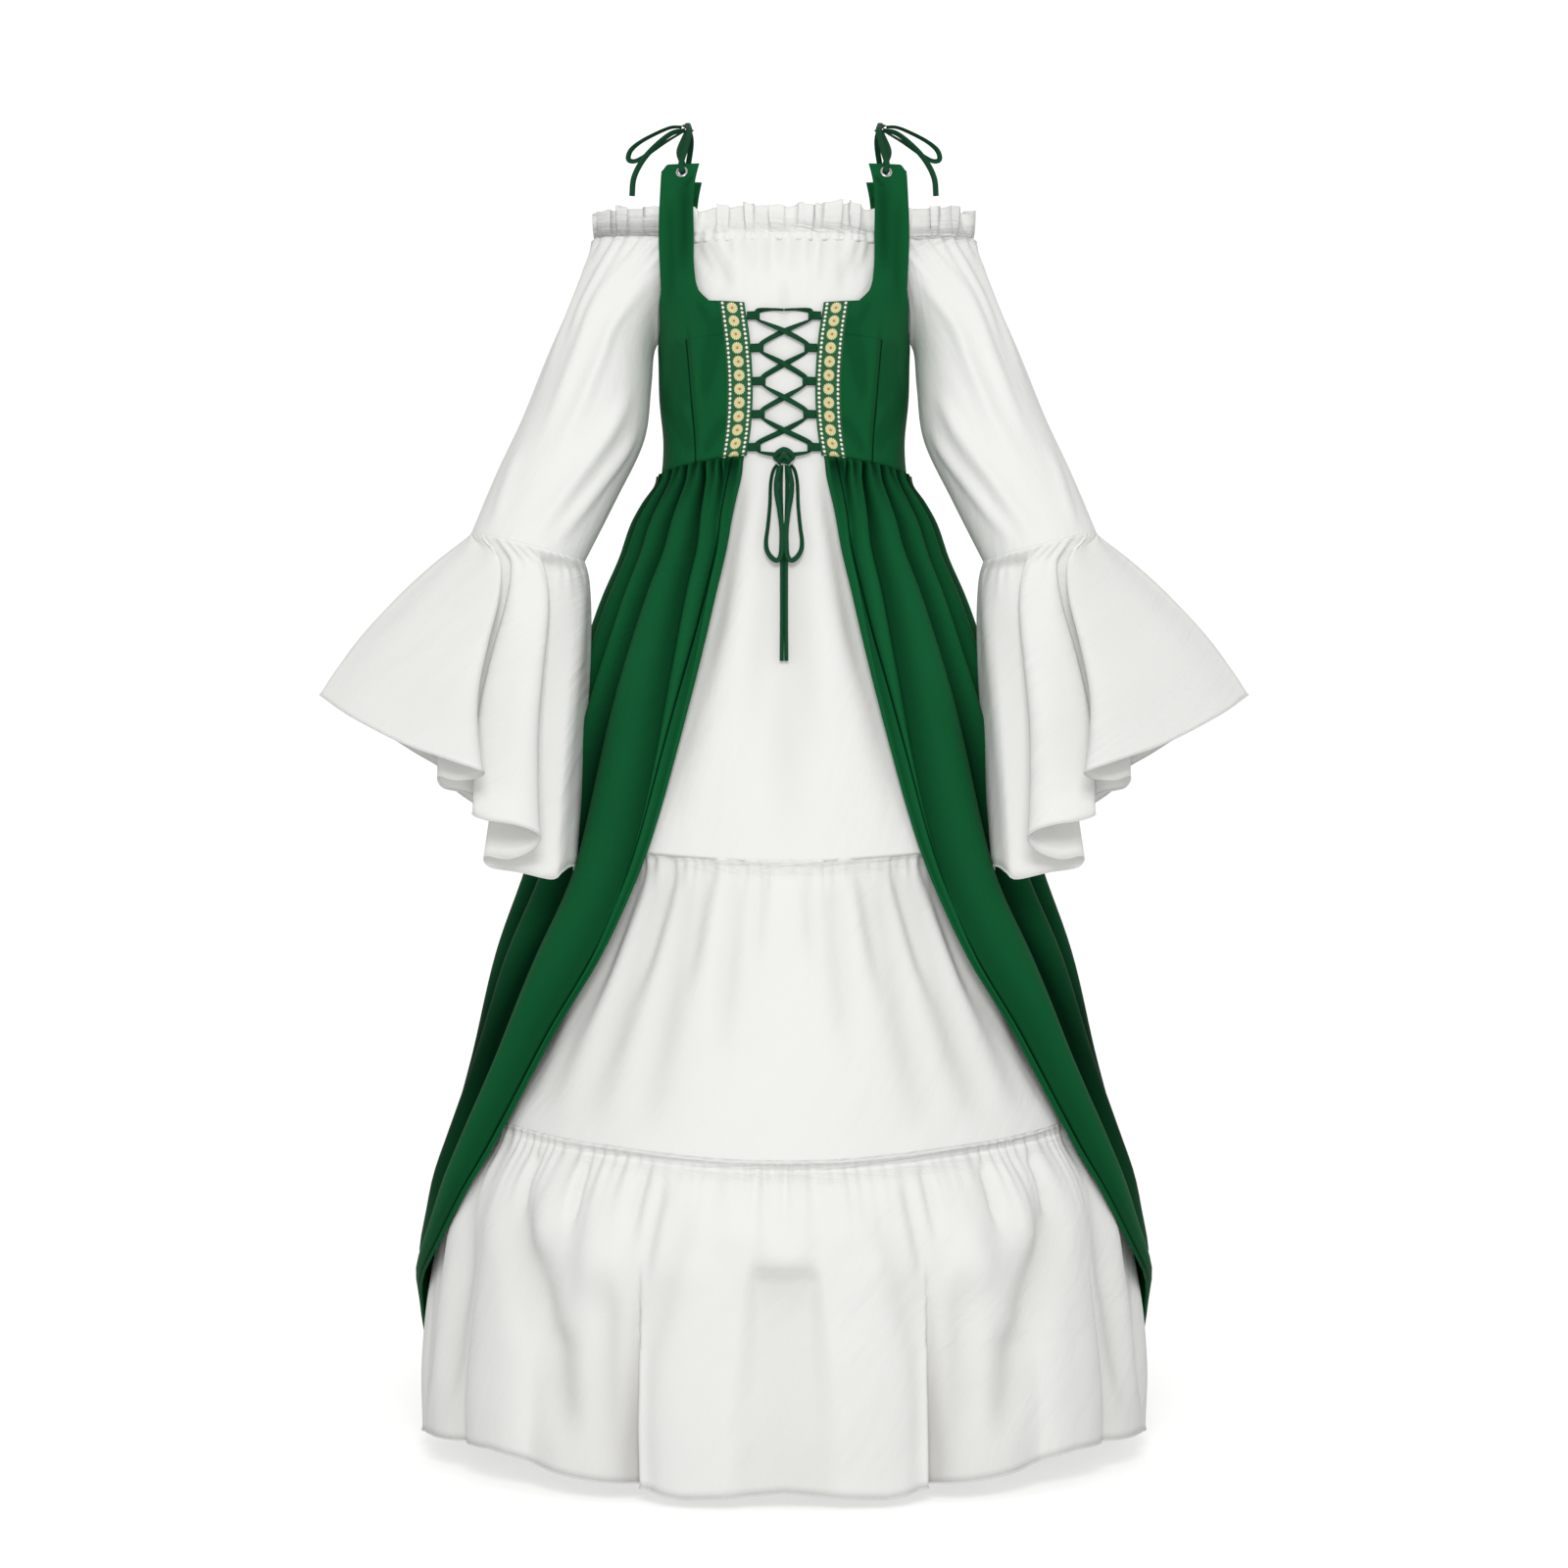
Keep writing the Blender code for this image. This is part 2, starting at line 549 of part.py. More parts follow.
def make_bodice():
    drop = np.array(BODICE_DROPS, float)[:, None]
    cut = drop.copy()
    cut[-1] -= SEAM_GAP / 2
    laced = read(LACED_EDGE, drop, "value")
    front = bodice_angles(cut, [laced, laced + TRIM_WIDTH / 2, laced + TRIM_WIDTH])
    inner_columns = front.shape[1] - len(STRAP_SHARES)
    keep = np.ones((len(drop) - 1, front.shape[1] - 1), bool)
    keep[: BODICE_DROPS.index(NECKLINE_DROP), :inner_columns] = False
    keep[1, inner_columns + EYELET_CELL] = False
    left = bodice_points(front, cut)
    cloth("bodice_front_left", "green_cloth", left, keep=keep)
    cloth("bodice_front_right", "green_cloth", other_side(left), keep=keep[:, ::-1])
    trim = moved_out(left[BODICE_DROPS.index(NECKLINE_DROP):, :3], SEAM_GAP + TRIM_WALL)
    cloth("trim_left", "green_trim", trim, TRIM_WALL)
    cloth("trim_right", "green_trim", other_side(trim), TRIM_WALL)
    centre = np.zeros_like(cut)
    half = np.pi - bodice_angles(cut, [centre])
    whole = np.concatenate([half[:, ::-1], (2 * np.pi - half)[:, 1:]], axis=1)
    side = len(STRAP_SHARES) - 1
    keep = np.ones((len(drop) - 1, whole.shape[1] - 1), bool)
    keep[: BODICE_DROPS.index(BACK_NECKLINE_DROP), side:-side] = False
    keep[1, side - 1 - EYELET_CELL] = False
    keep[1, -side + EYELET_CELL] = False
    cloth("bodice_back", "green_cloth", bodice_points(whole, cut), keep=keep)


def make_overskirt():
    """The open-fronted skirt: tubular folds from the waist seam to the hem, in three panels."""
    drop = np.array(OVERSKIRT_DROPS, float)[:, None]
    drop[0] += SEAM_GAP / 2
    step = 1 / OVERSKIRT_COLUMNS_A_FOLD
    side = np.arange(0, OVERSKIRT_SEAM_FOLD + step / 2, step)
    side[-1] -= OVERSKIRT_SIDE_GAP
    back = np.arange(OVERSKIRT_SEAM_FOLD, OVERSKIRT_FOLDS_A_SIDE + step / 2, step)
    back[0] += OVERSKIRT_SIDE_GAP

    def points(fold):
        opening = np.radians(read(OPEN_EDGE, drop, "value"))
        phase = 2 * np.pi * fold
        drawn = fold - OVERSKIRT_PINCH * np.sin(phase) / (2 * np.pi) * (drop > WAIST_DROP + 1)
        angle = opening + (np.pi - opening) * drawn / OVERSKIRT_FOLDS_A_SIDE
        behind = ease((np.degrees(angle) - 92) / 70)
        level = dipped(np.broadcast_to(drop, angle.shape), angle)
        height = read(OVERSKIRT_FOLDS, level, "side") * (1 - behind)
        height = height + read(OVERSKIRT_FOLDS, level, "back") * behind
        out = CLOTH_WALL + height * (1 - np.cos(phase)) / 2
        return around(form_radii(OVERSKIRT_FORM, angle, level), angle, level, out)

    left = points(side)
    cloth("overskirt_left", "green_cloth", left)
    cloth("overskirt_right", "green_cloth", other_side(left))
    half = points(back)
    cloth("overskirt_back", "green_cloth", np.concatenate([half, other_side(half)[:, 1:]], axis=1))


def box_between(name, finish, corners):
    """A small block through four back corners and the four in front of them."""
    mesh = bpy.data.meshes.new(name)
    faces = [(0, 1, 2, 3), (7, 6, 5, 4), (0, 4, 5, 1), (1, 5, 6, 2), (2, 6, 7, 3), (3, 7, 4, 0)]
    mesh.from_pydata([tuple(corner * MM) for corner in corners], [], faces)
    add_object(name, mesh, finish)


def tab_tip(drop):
    return float(read(LACED_EDGE, drop, "value")) - TAB_ROOT_GAP - TAB_REACH


def make_tabs():
    for number, middle in enumerate(TAB_DROPS, 1):
        for name, side in (("left", 1), ("right", -1)):
            tip = tab_tip(middle)
            outline = [(tip, -1), (tip + TAB_REACH, -1), (tip + TAB_REACH, 1), (tip, 1)]
            corners = []
            for out in (TAB_GAP, TAB_GAP + TAB_WALL):
                for x, up in outline[::side]:
                    corners.append(front_point(side * x, middle + up * TAB_HEIGHT / 2, out))
            box_between(f"lace_tab_{number}_{name}", "green_lace", corners)


def cord(name, points, radius):
    """A round lace through the points, with flat ends."""
    curve = bpy.data.curves.new(name, "CURVE")
    curve.dimensions = "3D"
    curve.bevel_depth = radius * MM
    curve.bevel_resolution = 2
    curve.use_fill_caps = True
    spline = curve.splines.new("POLY")
    spline.points.add(len(points) - 1)
    for point, place in zip(spline.points, points):
        point.co = (*(np.asarray(place, float) * MM), 1.0)
    return add_object(name, curve, "green_lace")


def knot(name, centre, radii):
    """A knot pulled tight, as a rounded lump."""
    mesh = bpy.data.meshes.new(name)
    shape = bmesh.new()
    bmesh.ops.create_uvsphere(shape, u_segments=8, v_segments=6, radius=1.0)
    for vert in shape.verts:
        vert.co = Vector(c + r * p for c, r, p in zip(centre, radii, vert.co)) * MM
    shape.to_mesh(mesh)
    shape.free()
    mesh.shade_smooth()
    return add_object(name, mesh, "green_lace")


# The lace: two halves cross between the tabs, then tie in a bow that hangs on the skirt's front
LACE_UNDER = LACE_RADIUS + 0.7
LACE_OVER = LACE_UNDER + 2 * LACE_RADIUS + 0.6
LACE_ON_TAB = TAB_GAP + TAB_WALL + LACE_RADIUS + 1.3
KNOT_DROP = 357.0
KNOT_SIZE = (8.5, 5.0, 7.0)
KNOT_OUT = 6.0
LACE_LOOP = (
    Stop(7.0, 364.5, 7.0), Stop(11.5, 384, 5.5), Stop(13.5, 412, 4.5), Stop(16.5, 441, 5.0),
    Stop(16.5, 456, 6.5), Stop(12.5, 464, 8.5), Stop(9.0, 456, 9.0), Stop(7.8, 432, 9.0),
    Stop(7.0, 400, 10.0), Stop(4.4, 365.6, 10.2),
)
LACE_TAIL = (
    Stop(2.7, 364.9, 4.6), Stop(2.8, 400, 3.2), Stop(2.6, 440, 3.2), Stop(2.8, 485, 3.2),
    Stop(2.6, 525, 3.2), Stop(3.0, 566, 3.2),
)


def lace_route(first):
    """Where one half of the lace runs, from the bar across the top to the knot."""
    top = TAB_DROPS[0] - 5
    stops = [Stop(first * reach, top, LACE_ON_TAB) for reach in (SEAM_GAP, 9.0)]
    side = first
    for number, middle in enumerate(TAB_DROPS):
        if number:
            over = (number % 2 == 0) == (first > 0)
            crossing = (middle + TAB_DROPS[number - 1]) / 2
            stops.append(Stop(0.0, crossing, LACE_OVER if over else LACE_UNDER))
            side = -side
        stops.append(Stop(side * (tab_tip(middle) + 5), middle, LACE_ON_TAB))
    stops.append(Stop(side * (KNOT_SIZE[0] + KNOT_GAP), KNOT_DROP - 2, KNOT_OUT))
    return [front_point(*stop) for stop in stops]


def make_laces():
    for name, side in (("left", 1), ("right", -1)):
        cord(f"lace_{name}", lace_route(side), LACE_RADIUS)
        loop = [front_point(side * stop.x, stop.drop, stop.out) for stop in LACE_LOOP]
        cord(f"bow_loop_{name}", loop, LACE_RADIUS)
        tail = [front_point(side * stop.x, stop.drop, stop.out) for stop in LACE_TAIL]
        cord(f"lace_tail_{name}", tail, LACE_RADIUS)
    knot("lace_knot", front_point(0.0, KNOT_DROP, KNOT_OUT), KNOT_SIZE)


def strap_face(end):
    """Centre and outward normal of an eyelet on the left front (-1) or back (+1) strap."""
    def at(side, drop):
        half_width = bodice_radii(0.0, drop)[0]
        angle = math.asin(side / half_width)
        angle = angle if end < 0 else math.pi - angle
        return around(bodice_radii(angle, drop), angle, drop)

    centre = at(EYELET_SIDE, EYELET_DROP)
    across = at(EYELET_SIDE + 5, EYELET_DROP) - at(EYELET_SIDE - 5, EYELET_DROP)
    up = at(EYELET_SIDE, EYELET_DROP - 5) - at(EYELET_SIDE, EYELET_DROP + 5)
    normal = np.cross(across, up) * -end
    return centre, normal / np.linalg.norm(normal)


def make_eyelet(name, centre, normal, segments=10):
    """A pressed metal ring on the outside of a strap, round its hole."""
    turn = np.arange(segments) * 2 * np.pi / segments
    across = np.cross([0.0, 0.0, 1.0], normal)
    across /= np.linalg.norm(across)
    up = np.cross(normal, across)
    circle = np.cos(turn)[:, None] * across + np.sin(turn)[:, None] * up
    low = centre + normal * (SEAM_GAP + 0.15)
    high = low + normal * EYELET_WALL
    rings = [low + circle * EYELET_RADIUS, high + circle * EYELET_RADIUS,
             high + circle * EYELET_HOLE, low + circle * EYELET_HOLE]
    points = np.concatenate(rings) * MM
    faces = []
    for ring in range(4):
        here, there = ring * segments, (ring + 1) % 4 * segments
        for j in range(segments):
            right = (j + 1) % segments
            faces.append((here + j, here + right, there + right, there + j))
    mesh = bpy.data.meshes.new(name)
    mesh.from_pydata(points.tolist(), [], faces)
    add_object(name, mesh, "eyelet_metal")


# The shoulder tie on the left: through an eyelet, up over the shoulder, and a bow at the top
TIE_KNOT = np.array([TIE_SIDE, 0.0, -1.0])
TIE_KNOT_SIZE = (6.0, 6.5, 5.0)
TIE_END = 7.4
TIE_LOOP = (
    (107.5, -1, 0), (119, -3, -1), (135, -5, -8), (151, -6, -17), (162, -6, -27), (163, -4, -35),
    (155, -4, -36), (140, -4, -27), (124, -3, -16), (107.5, -1.5, -6),
)
TIE_TAIL = (
    (104.2, -5.0, -4.4), (118, -12, -9), (134, -14, -22), (148, -15, -38), (157, -15, -56), (159, -15, -75),
)


def tie_route(end, centre, normal):
    """A tie from the knot down to its eyelet, through the strap and back up on the inside."""
    above = np.cross(normal, [1.0, 0.0, 0.0])
    above *= np.sign(above[2]) * EYELET_HOLE / np.linalg.norm(above)
    middle = centre - normal * CLOTH_WALL / 2
    clear = CLOTH_WALL / 2 + TIE_RADIUS + 0.9
    outside = normal * (clear + EYELET_WALL + SEAM_GAP)
    inside = -normal * clear
    start = TIE_KNOT + np.array([0.0, end * TIE_END, 3.4])
    finish = TIE_KNOT + np.array([0.0, end * TIE_END, -4.0])
    down = middle + outside + 3.2 * above - start
    up = finish - (middle + inside + 3.0 * above)
    return [
        start,
        start + 0.38 * down + np.array([0.0, end * 3.0, 5.0]),
        start + 0.78 * down + np.array([0.0, end * 2.0, 3.5]),
        middle + outside + 2.6 * above,
        middle + outside * 0.98 + 1.05 * above,
        middle + outside * 0.45 + 0.1 * above,
        middle + inside * 0.5 + 0.1 * above,
        middle + inside + 1.2 * above,
        middle + inside + 3.0 * above,
        finish - 0.65 * up + np.array([0.0, end * 1.0, 1.5]),
        finish,
    ]


def make_ties():
    for end_name, end in (("front", -1), ("back", 1)):
        centre, normal = strap_face(end)
        stops = tie_route(end, centre, normal)
        for side_name, side in (("left", 1), ("right", -1)):
            mirror = np.array([side, 1.0, 1.0])
            cord(f"tie_{end_name}_{side_name}", [stop * mirror for stop in stops], TIE_RADIUS)
            make_eyelet(f"eyelet_{end_name}_{side_name}", centre * mirror, normal * mirror)
    for side_name, side in (("left", 1), ("right", -1)):
        mirror = np.array([side, 1.0, 1.0])
        knot(f"tie_knot_{side_name}", TIE_KNOT * mirror, TIE_KNOT_SIZE)
        cord(f"tie_loop_{side_name}", [np.array(stop) * mirror for stop in TIE_LOOP], TIE_RADIUS)
        cord(f"tie_tail_{side_name}", [np.array(stop) * mirror for stop in TIE_TAIL], TIE_RADIUS)


def main():
    for old in list(bpy.data.objects):
        bpy.data.objects.remove(old, do_unlink=True)
    make_chemise("chemise_front", 0.0)
    make_chemise("chemise_back", np.pi)
    make_tiers()
    make_sleeves()
    make_flounces()
    make_frills()
    make_bodice()
    make_overskirt()
    make_tabs()
    make_laces()
    make_ties()


main()
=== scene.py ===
import math

import bmesh
import bpy
import numpy as np
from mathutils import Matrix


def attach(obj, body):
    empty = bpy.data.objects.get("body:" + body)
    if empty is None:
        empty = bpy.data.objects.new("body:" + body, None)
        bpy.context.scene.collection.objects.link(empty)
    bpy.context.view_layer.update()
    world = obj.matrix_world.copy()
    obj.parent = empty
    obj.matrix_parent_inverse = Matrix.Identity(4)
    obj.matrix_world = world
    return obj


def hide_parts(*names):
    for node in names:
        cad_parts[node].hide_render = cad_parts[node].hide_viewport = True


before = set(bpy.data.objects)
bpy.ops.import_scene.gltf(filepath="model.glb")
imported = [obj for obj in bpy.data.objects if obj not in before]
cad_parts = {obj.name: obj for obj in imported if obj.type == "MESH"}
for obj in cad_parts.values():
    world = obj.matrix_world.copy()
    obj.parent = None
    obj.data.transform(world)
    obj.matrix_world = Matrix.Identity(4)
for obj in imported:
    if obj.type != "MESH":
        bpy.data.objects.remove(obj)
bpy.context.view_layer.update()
mm = 0.001
# Lengths below are millimetres. A drop is a distance below the shoulders, angle 0 is the front
# centre and +90 degrees the wearer's left.


# Plain maths
def ease(t):  # a smooth step from 0 to 1: three t squared less two t cubed
    t = np.clip(t, 0.0, 1.0)
    return t * t * (3 - 2 * t)


def smoothValue(at, places, values):  # cubic curve through (place, value) pairs, slopes from neighbours
    places, values = np.asarray(places, float), np.asarray(values, float)
    slopes = np.gradient(values, places, axis=0)
    at = np.clip(np.asarray(at, float), places[0], places[-1])
    i = np.clip(np.searchsorted(places, at, side="right") - 1, 0, len(places) - 2)
    span = places[i + 1] - places[i]
    t = (at - places[i]) / span
    t, span = (a.reshape(a.shape + (1,) * (values.ndim - 1)) for a in (t, span))
    return (values[i] * (1 + 2 * t) * (1 - t) ** 2 + slopes[i] * span * t * (1 - t) ** 2
            + values[i + 1] * t * t * (3 - 2 * t) - slopes[i + 1] * span * t * t * (1 - t))


def tableValue(table, at, column):  # one column of a table whose first column is the drop
    table = np.asarray(table, float)
    return smoothValue(at, table[:, 0], table[:, column])


def uneven(u, v, seed, waves=6, low=0.4, high=2.2):  # sum of sines of mixed pitch, about -1 to 1
    rng = np.random.default_rng(seed)
    total = 0.0
    for _ in range(waves):
        a, b, c = rng.uniform(low, high), rng.uniform(-high, high) * 0.5, rng.uniform(0, 2 * np.pi)
        total = total + np.sin(a * u + b * v + c)
    return total / waves ** 0.5 / 1.2


def creases(x, drop, rows):
    # each row is a top x and drop, a bottom x and drop, a half width and a height: a gaussian across the
    # line between them, eased off at both ends
    total = 0.0
    for x0, d0, x1, d1, width, height in rows:
        length = math.hypot(x1 - x0, d1 - d0)
        t = ((x - x0) * (x1 - x0) + (drop - d0) * (d1 - d0)) / length ** 2
        away = ((x - x0) * (d1 - d0) - (drop - d0) * (x1 - x0)) / length
        total = total + height * hump(away, width) * ease((t + 0.12) / 0.35) * ease((1.12 - t) / 0.5)
    return total


def formRadii(form, angle, drop):  # half width, and the depth on the side that the angle looks to
    depth = np.where(np.cos(angle) > 0, tableValue(form, drop, 2), tableValue(form, drop, 3))
    return tableValue(form, drop, 1), depth


def around(radii, angle, drop, out=0.0):  # points of an ellipse with these radii, moved out
    halfWidth, depth = radii
    x = (halfWidth + out) * np.sin(angle)
    y = -(depth + out) * np.cos(angle)
    return np.stack(np.broadcast_arrays(x, y, -np.asarray(drop, float)), axis=-1)


def allowance(grid, inward=1.6, down=3.0):  # two more rows, turned in behind the piece sewn on below
    middle = grid[-1].mean(axis=0)
    away = grid[-1] - middle
    away[:, 2] = 0.0
    away /= np.maximum(np.linalg.norm(away, axis=1, keepdims=True), 1e-9)
    along = (grid[-1] - grid[-2]).mean(axis=0)
    along /= np.linalg.norm(along)
    return np.concatenate([grid, [grid[-1] + along * 0.05], [grid[-1] - away * inward + along * down]])


def otherSide(grid):  # the same panel on the wearer's right, still facing out
    return (grid * np.array([-1.0, 1.0, 1.0]))[:, ::-1]


def steps(*spans):  # even steps over each span of (start, end, count)
    return np.concatenate([np.linspace(*span) for span in spans])


def hump(at, width):  # a gaussian: 1 at 0, and 1/e at the width
    return np.exp(-(at / width) ** 2)


def carried(values):  # the last row's values, also for the two rows of the allowance
    return np.concatenate([values, values[-1:], values[-1:]])


def lengths(line):  # distance along a line of points
    return np.concatenate([[0.0], np.cumsum(np.linalg.norm(np.diff(line, axis=0), axis=1))])


def evenly(line, count):  # the same line, with points a step apart
    run = lengths(line)
    return np.stack([np.interp(np.linspace(0, run[-1], count), run, line[:, k]) for k in range(3)], axis=1)


# Shader helpers
def put(tree, kind, values=None, **settings):  # a shader node; sockets are linked, other values set
    node = tree.nodes.new("ShaderNode" + kind)
    for key, value in settings.items():
        setattr(node, key, value)
    for key, value in (values or {}).items():
        if isinstance(value, bpy.types.NodeSocket):
            tree.links.new(value, node.inputs[key])
        else:
            node.inputs[key].default_value = value
    return node


def calc(operation, *values):  # a maths node, in the tree of the first socket among its values
    tree = next(value.id_data for value in values if isinstance(value, bpy.types.NodeSocket))
    return put(tree, "Math", dict(enumerate(values)), operation=operation).outputs[0]


def times(*values):  # the product
    return calc("MULTIPLY", *values)


def plus(*values):  # the sum
    return calc("ADD", *values)


def mixColour(share, a, b):  # a where the share is 0, b where it is 1
    return put(share.id_data, "Mix", {0: share, 6: a, 7: b}, data_type="RGBA").outputs[2]


def bump(shader, height):  # the shader's normal from a height in metres
    tree = height.id_data
    tree.links.new(put(tree, "Bump", {"Height": height, "Distance": 1.0, "Strength": 1.0}).outputs[0],
                   shader.inputs["Normal"])


def bands(tree, vector, scale, **settings):  # a sine wave across the vector, from 0 to 1
    node = put(tree, "TexWave", {"Vector": vector, "Scale": scale}, wave_type="BANDS", **settings)
    return node.outputs["Fac"]


def noise(tree, vector, **inputs):  # uneven values about 0.5
    return put(tree, "TexNoise", {"Vector": vector, **inputs}).outputs["Fac"]


def stretched(tree, vector, **inputs):  # the vector scaled or turned
    return put(tree, "Mapping", {"Vector": vector, **inputs}).outputs[0]


def clothUv(tree):  # the piece's own cut, in metres
    return put(tree, "UVMap", {}, uv_map="cut").outputs["UV"]


def newGroup(name, inputs, outputs):  # a node group with these sockets
    group = bpy.data.node_groups.new(name, "ShaderNodeTree")
    for label, kind in inputs:
        group.interface.new_socket(label, in_out="INPUT", socket_type="NodeSocket" + kind)
    for label, kind in outputs:
        group.interface.new_socket(label, in_out="OUTPUT", socket_type="NodeSocket" + kind)
    start, end = group.nodes.new("NodeGroupInput"), group.nodes.new("NodeGroupOutput")
    return group, start.outputs, end.inputs


def weaveGroup():  # plain weave from two crossed waves, with broad uneven tone and soft rumples
    group, given, gives = newGroup(
        "clothWeave", [("UV", "Vector"), ("Threads", "Float"), ("Rumple", "Float"), ("Gather", "Float")],
        [("Height", "Float"), ("Tone", "Float")])
    warp, weft = (bands(group, given["UV"], given["Threads"], bands_direction=way) for way in "XY")
    weave = times(times(warp, weft), 0.00006)
    rumple = noise(group, stretched(group, given["UV"], Scale=(34.0, 11.0, 1.0)), Scale=1.0, Detail=3.0,
                   Roughness=0.55)
    pucker = noise(group, stretched(group, given["UV"], Scale=(190.0, 26.0, 1.0)), Scale=1.0, Detail=1.0)
    raised = plus(plus(weave, times(rumple, given["Rumple"])), times(pucker, given["Gather"]))
    group.links.new(raised, gives["Height"])
    broad = noise(group, given["UV"], Scale=6.0, Detail=2.0)
    group.links.new(plus(times(broad, 0.14), 0.90), gives["Tone"])
    return group


def stitchGroup():  # a sewn line: a groove where the distance is 0 and threads every few millimetres
    group, given, gives = newGroup(
        "sewnLine", [("Distance", "Float"), ("Run", "Float"), ("Pitch", "Float"), ("Depth", "Float")],
        [("Height", "Float"), ("Thread", "Float"), ("Shade", "Float")])
    away = calc("ABSOLUTE", given["Distance"])
    groove = calc("SUBTRACT", 1.0, calc("DIVIDE", away, 1.5))
    groove = calc("MAXIMUM", groove, 0.0)
    step = calc("FRACT", calc("DIVIDE", given["Run"], given["Pitch"]))
    dash = calc("LESS_THAN", calc("ABSOLUTE", calc("SUBTRACT", step, 0.5)), 0.34)
    thread = times(dash, calc("LESS_THAN", away, 0.42))
    group.links.new(thread, gives["Thread"])
    group.links.new(times(groove, groove), gives["Shade"])
    low = times(groove, times(given["Depth"], -1.0))
    group.links.new(plus(low, times(thread, 0.0003)), gives["Height"])
    return group


clothWeave = weaveGroup()
sewnLine = stitchGroup()


def startMaterial(name, roughness, **sockets):  # a material with these constants on its shader
    made = bpy.data.materials.new(name)
    made.use_nodes = True
    tree = made.node_tree
    shader = tree.nodes["Principled BSDF"]
    shader.inputs["Roughness"].default_value = roughness
    for key, value in sockets.items():
        shader.inputs[key.replace("_", " ")].default_value = value
    return made, tree, shader


def attribute(tree, name):  # a value that the mesh carries at its points
    return put(tree, "Attribute", {}, attribute_name=name).outputs["Fac"]


def clothMaterial(name, colour, shade, thread, roughness, threads, rumple, sewnDepth, sewnShade, **sockets):
    # colour varies a little over the cloth, darkens in sewn lines, and carries weave, rumples and puckers
    made, tree, shader = startMaterial(name, roughness, **sockets)
    uv = clothUv(tree)
    run = put(tree, "SeparateXYZ", {0: uv}).outputs[0]
    weave = put(tree, "Group", {"UV": uv, "Threads": threads, "Rumple": rumple,
                                "Gather": attribute(tree, "gather")}, node_tree=clothWeave).outputs
    sewn = put(tree, "Group", {"Distance": attribute(tree, "seam"), "Run": times(run, 1000.0), "Pitch": 2.6,
                               "Depth": sewnDepth}, node_tree=sewnLine).outputs
    tone = mixColour(weave["Tone"], shade, colour)
    # painted shade: the colour goes towards the shade colour where the piece's attribute marks fold hollows
    tone = mixColour(attribute(tree, "paintedShade"), tone, shade)
    tone = mixColour(times(sewn["Shade"], sewnShade), tone, shade)
    tone = mixColour(sewn["Thread"], tone, thread)
    tree.links.new(tone, shader.inputs["Base Color"])
    bump(shader, plus(weave["Height"], sewn["Height"]))
    return made


whiteCloth = clothMaterial("whiteCrepe", (0.91, 0.91, 0.885, 1), (0.55, 0.54, 0.51, 1),
                           (0.93, 0.93, 0.91, 1), 0.60, 330.0, 0.0020, 0.00025, 0.15,
                           Sheen_Weight=0.12, Specular_IOR_Level=0.30)
greenCloth = clothMaterial("greenSatin", (0.0075, 0.105, 0.0330, 1), (0.0006, 0.006, 0.0026, 1),
                           (0.001, 0.010, 0.004, 1), 0.46, 330.0, 0.0016, 0.0009, 1.0,
                           Specular_Tint=(0.20, 1.0, 0.48, 1), Specular_IOR_Level=0.05)


def laceMaterial():  # braided flat tube: two slanted waves across the width
    made, tree, shader = startMaterial("greenLaceBraid", 0.55, Specular_Tint=(0.4, 1.0, 0.6, 1),
                                       Specular_IOR_Level=0.35)
    uv = clothUv(tree)
    both = calc("MAXIMUM", *(bands(tree, stretched(tree, uv, Rotation=(0, 0, turn)), 260.0)
                             for turn in (0.7, -0.7)))
    tree.links.new(mixColour(both, (0.002, 0.024, 0.010, 1), (0.004, 0.060, 0.022, 1)),
                   shader.inputs["Base Color"])
    bump(shader, times(both, 0.0002))
    return made


def metalMaterial():  # polished ring with light rubbing
    made, tree, shader = startMaterial("eyeletMetal", 0.2, Metallic=1.0)
    rub = noise(tree, put(tree, "TexCoord").outputs["Object"], Scale=900.0, Detail=2.0)
    colour = mixColour(rub, (0.62, 0.62, 0.60, 1), (0.86, 0.86, 0.84, 1))
    tree.links.new(colour, shader.inputs["Base Color"])
    tree.links.new(plus(times(rub, 0.2), 0.12), shader.inputs["Roughness"])
    return made


trimLook = {"flowerPitch": 13.9, "flowerRadius": 6.1, "centreRadius": 1.25, "petals": 16.0, "dotPitch": 4.63,
            "dotRadius": 1.5, "dotRow": 10.1}


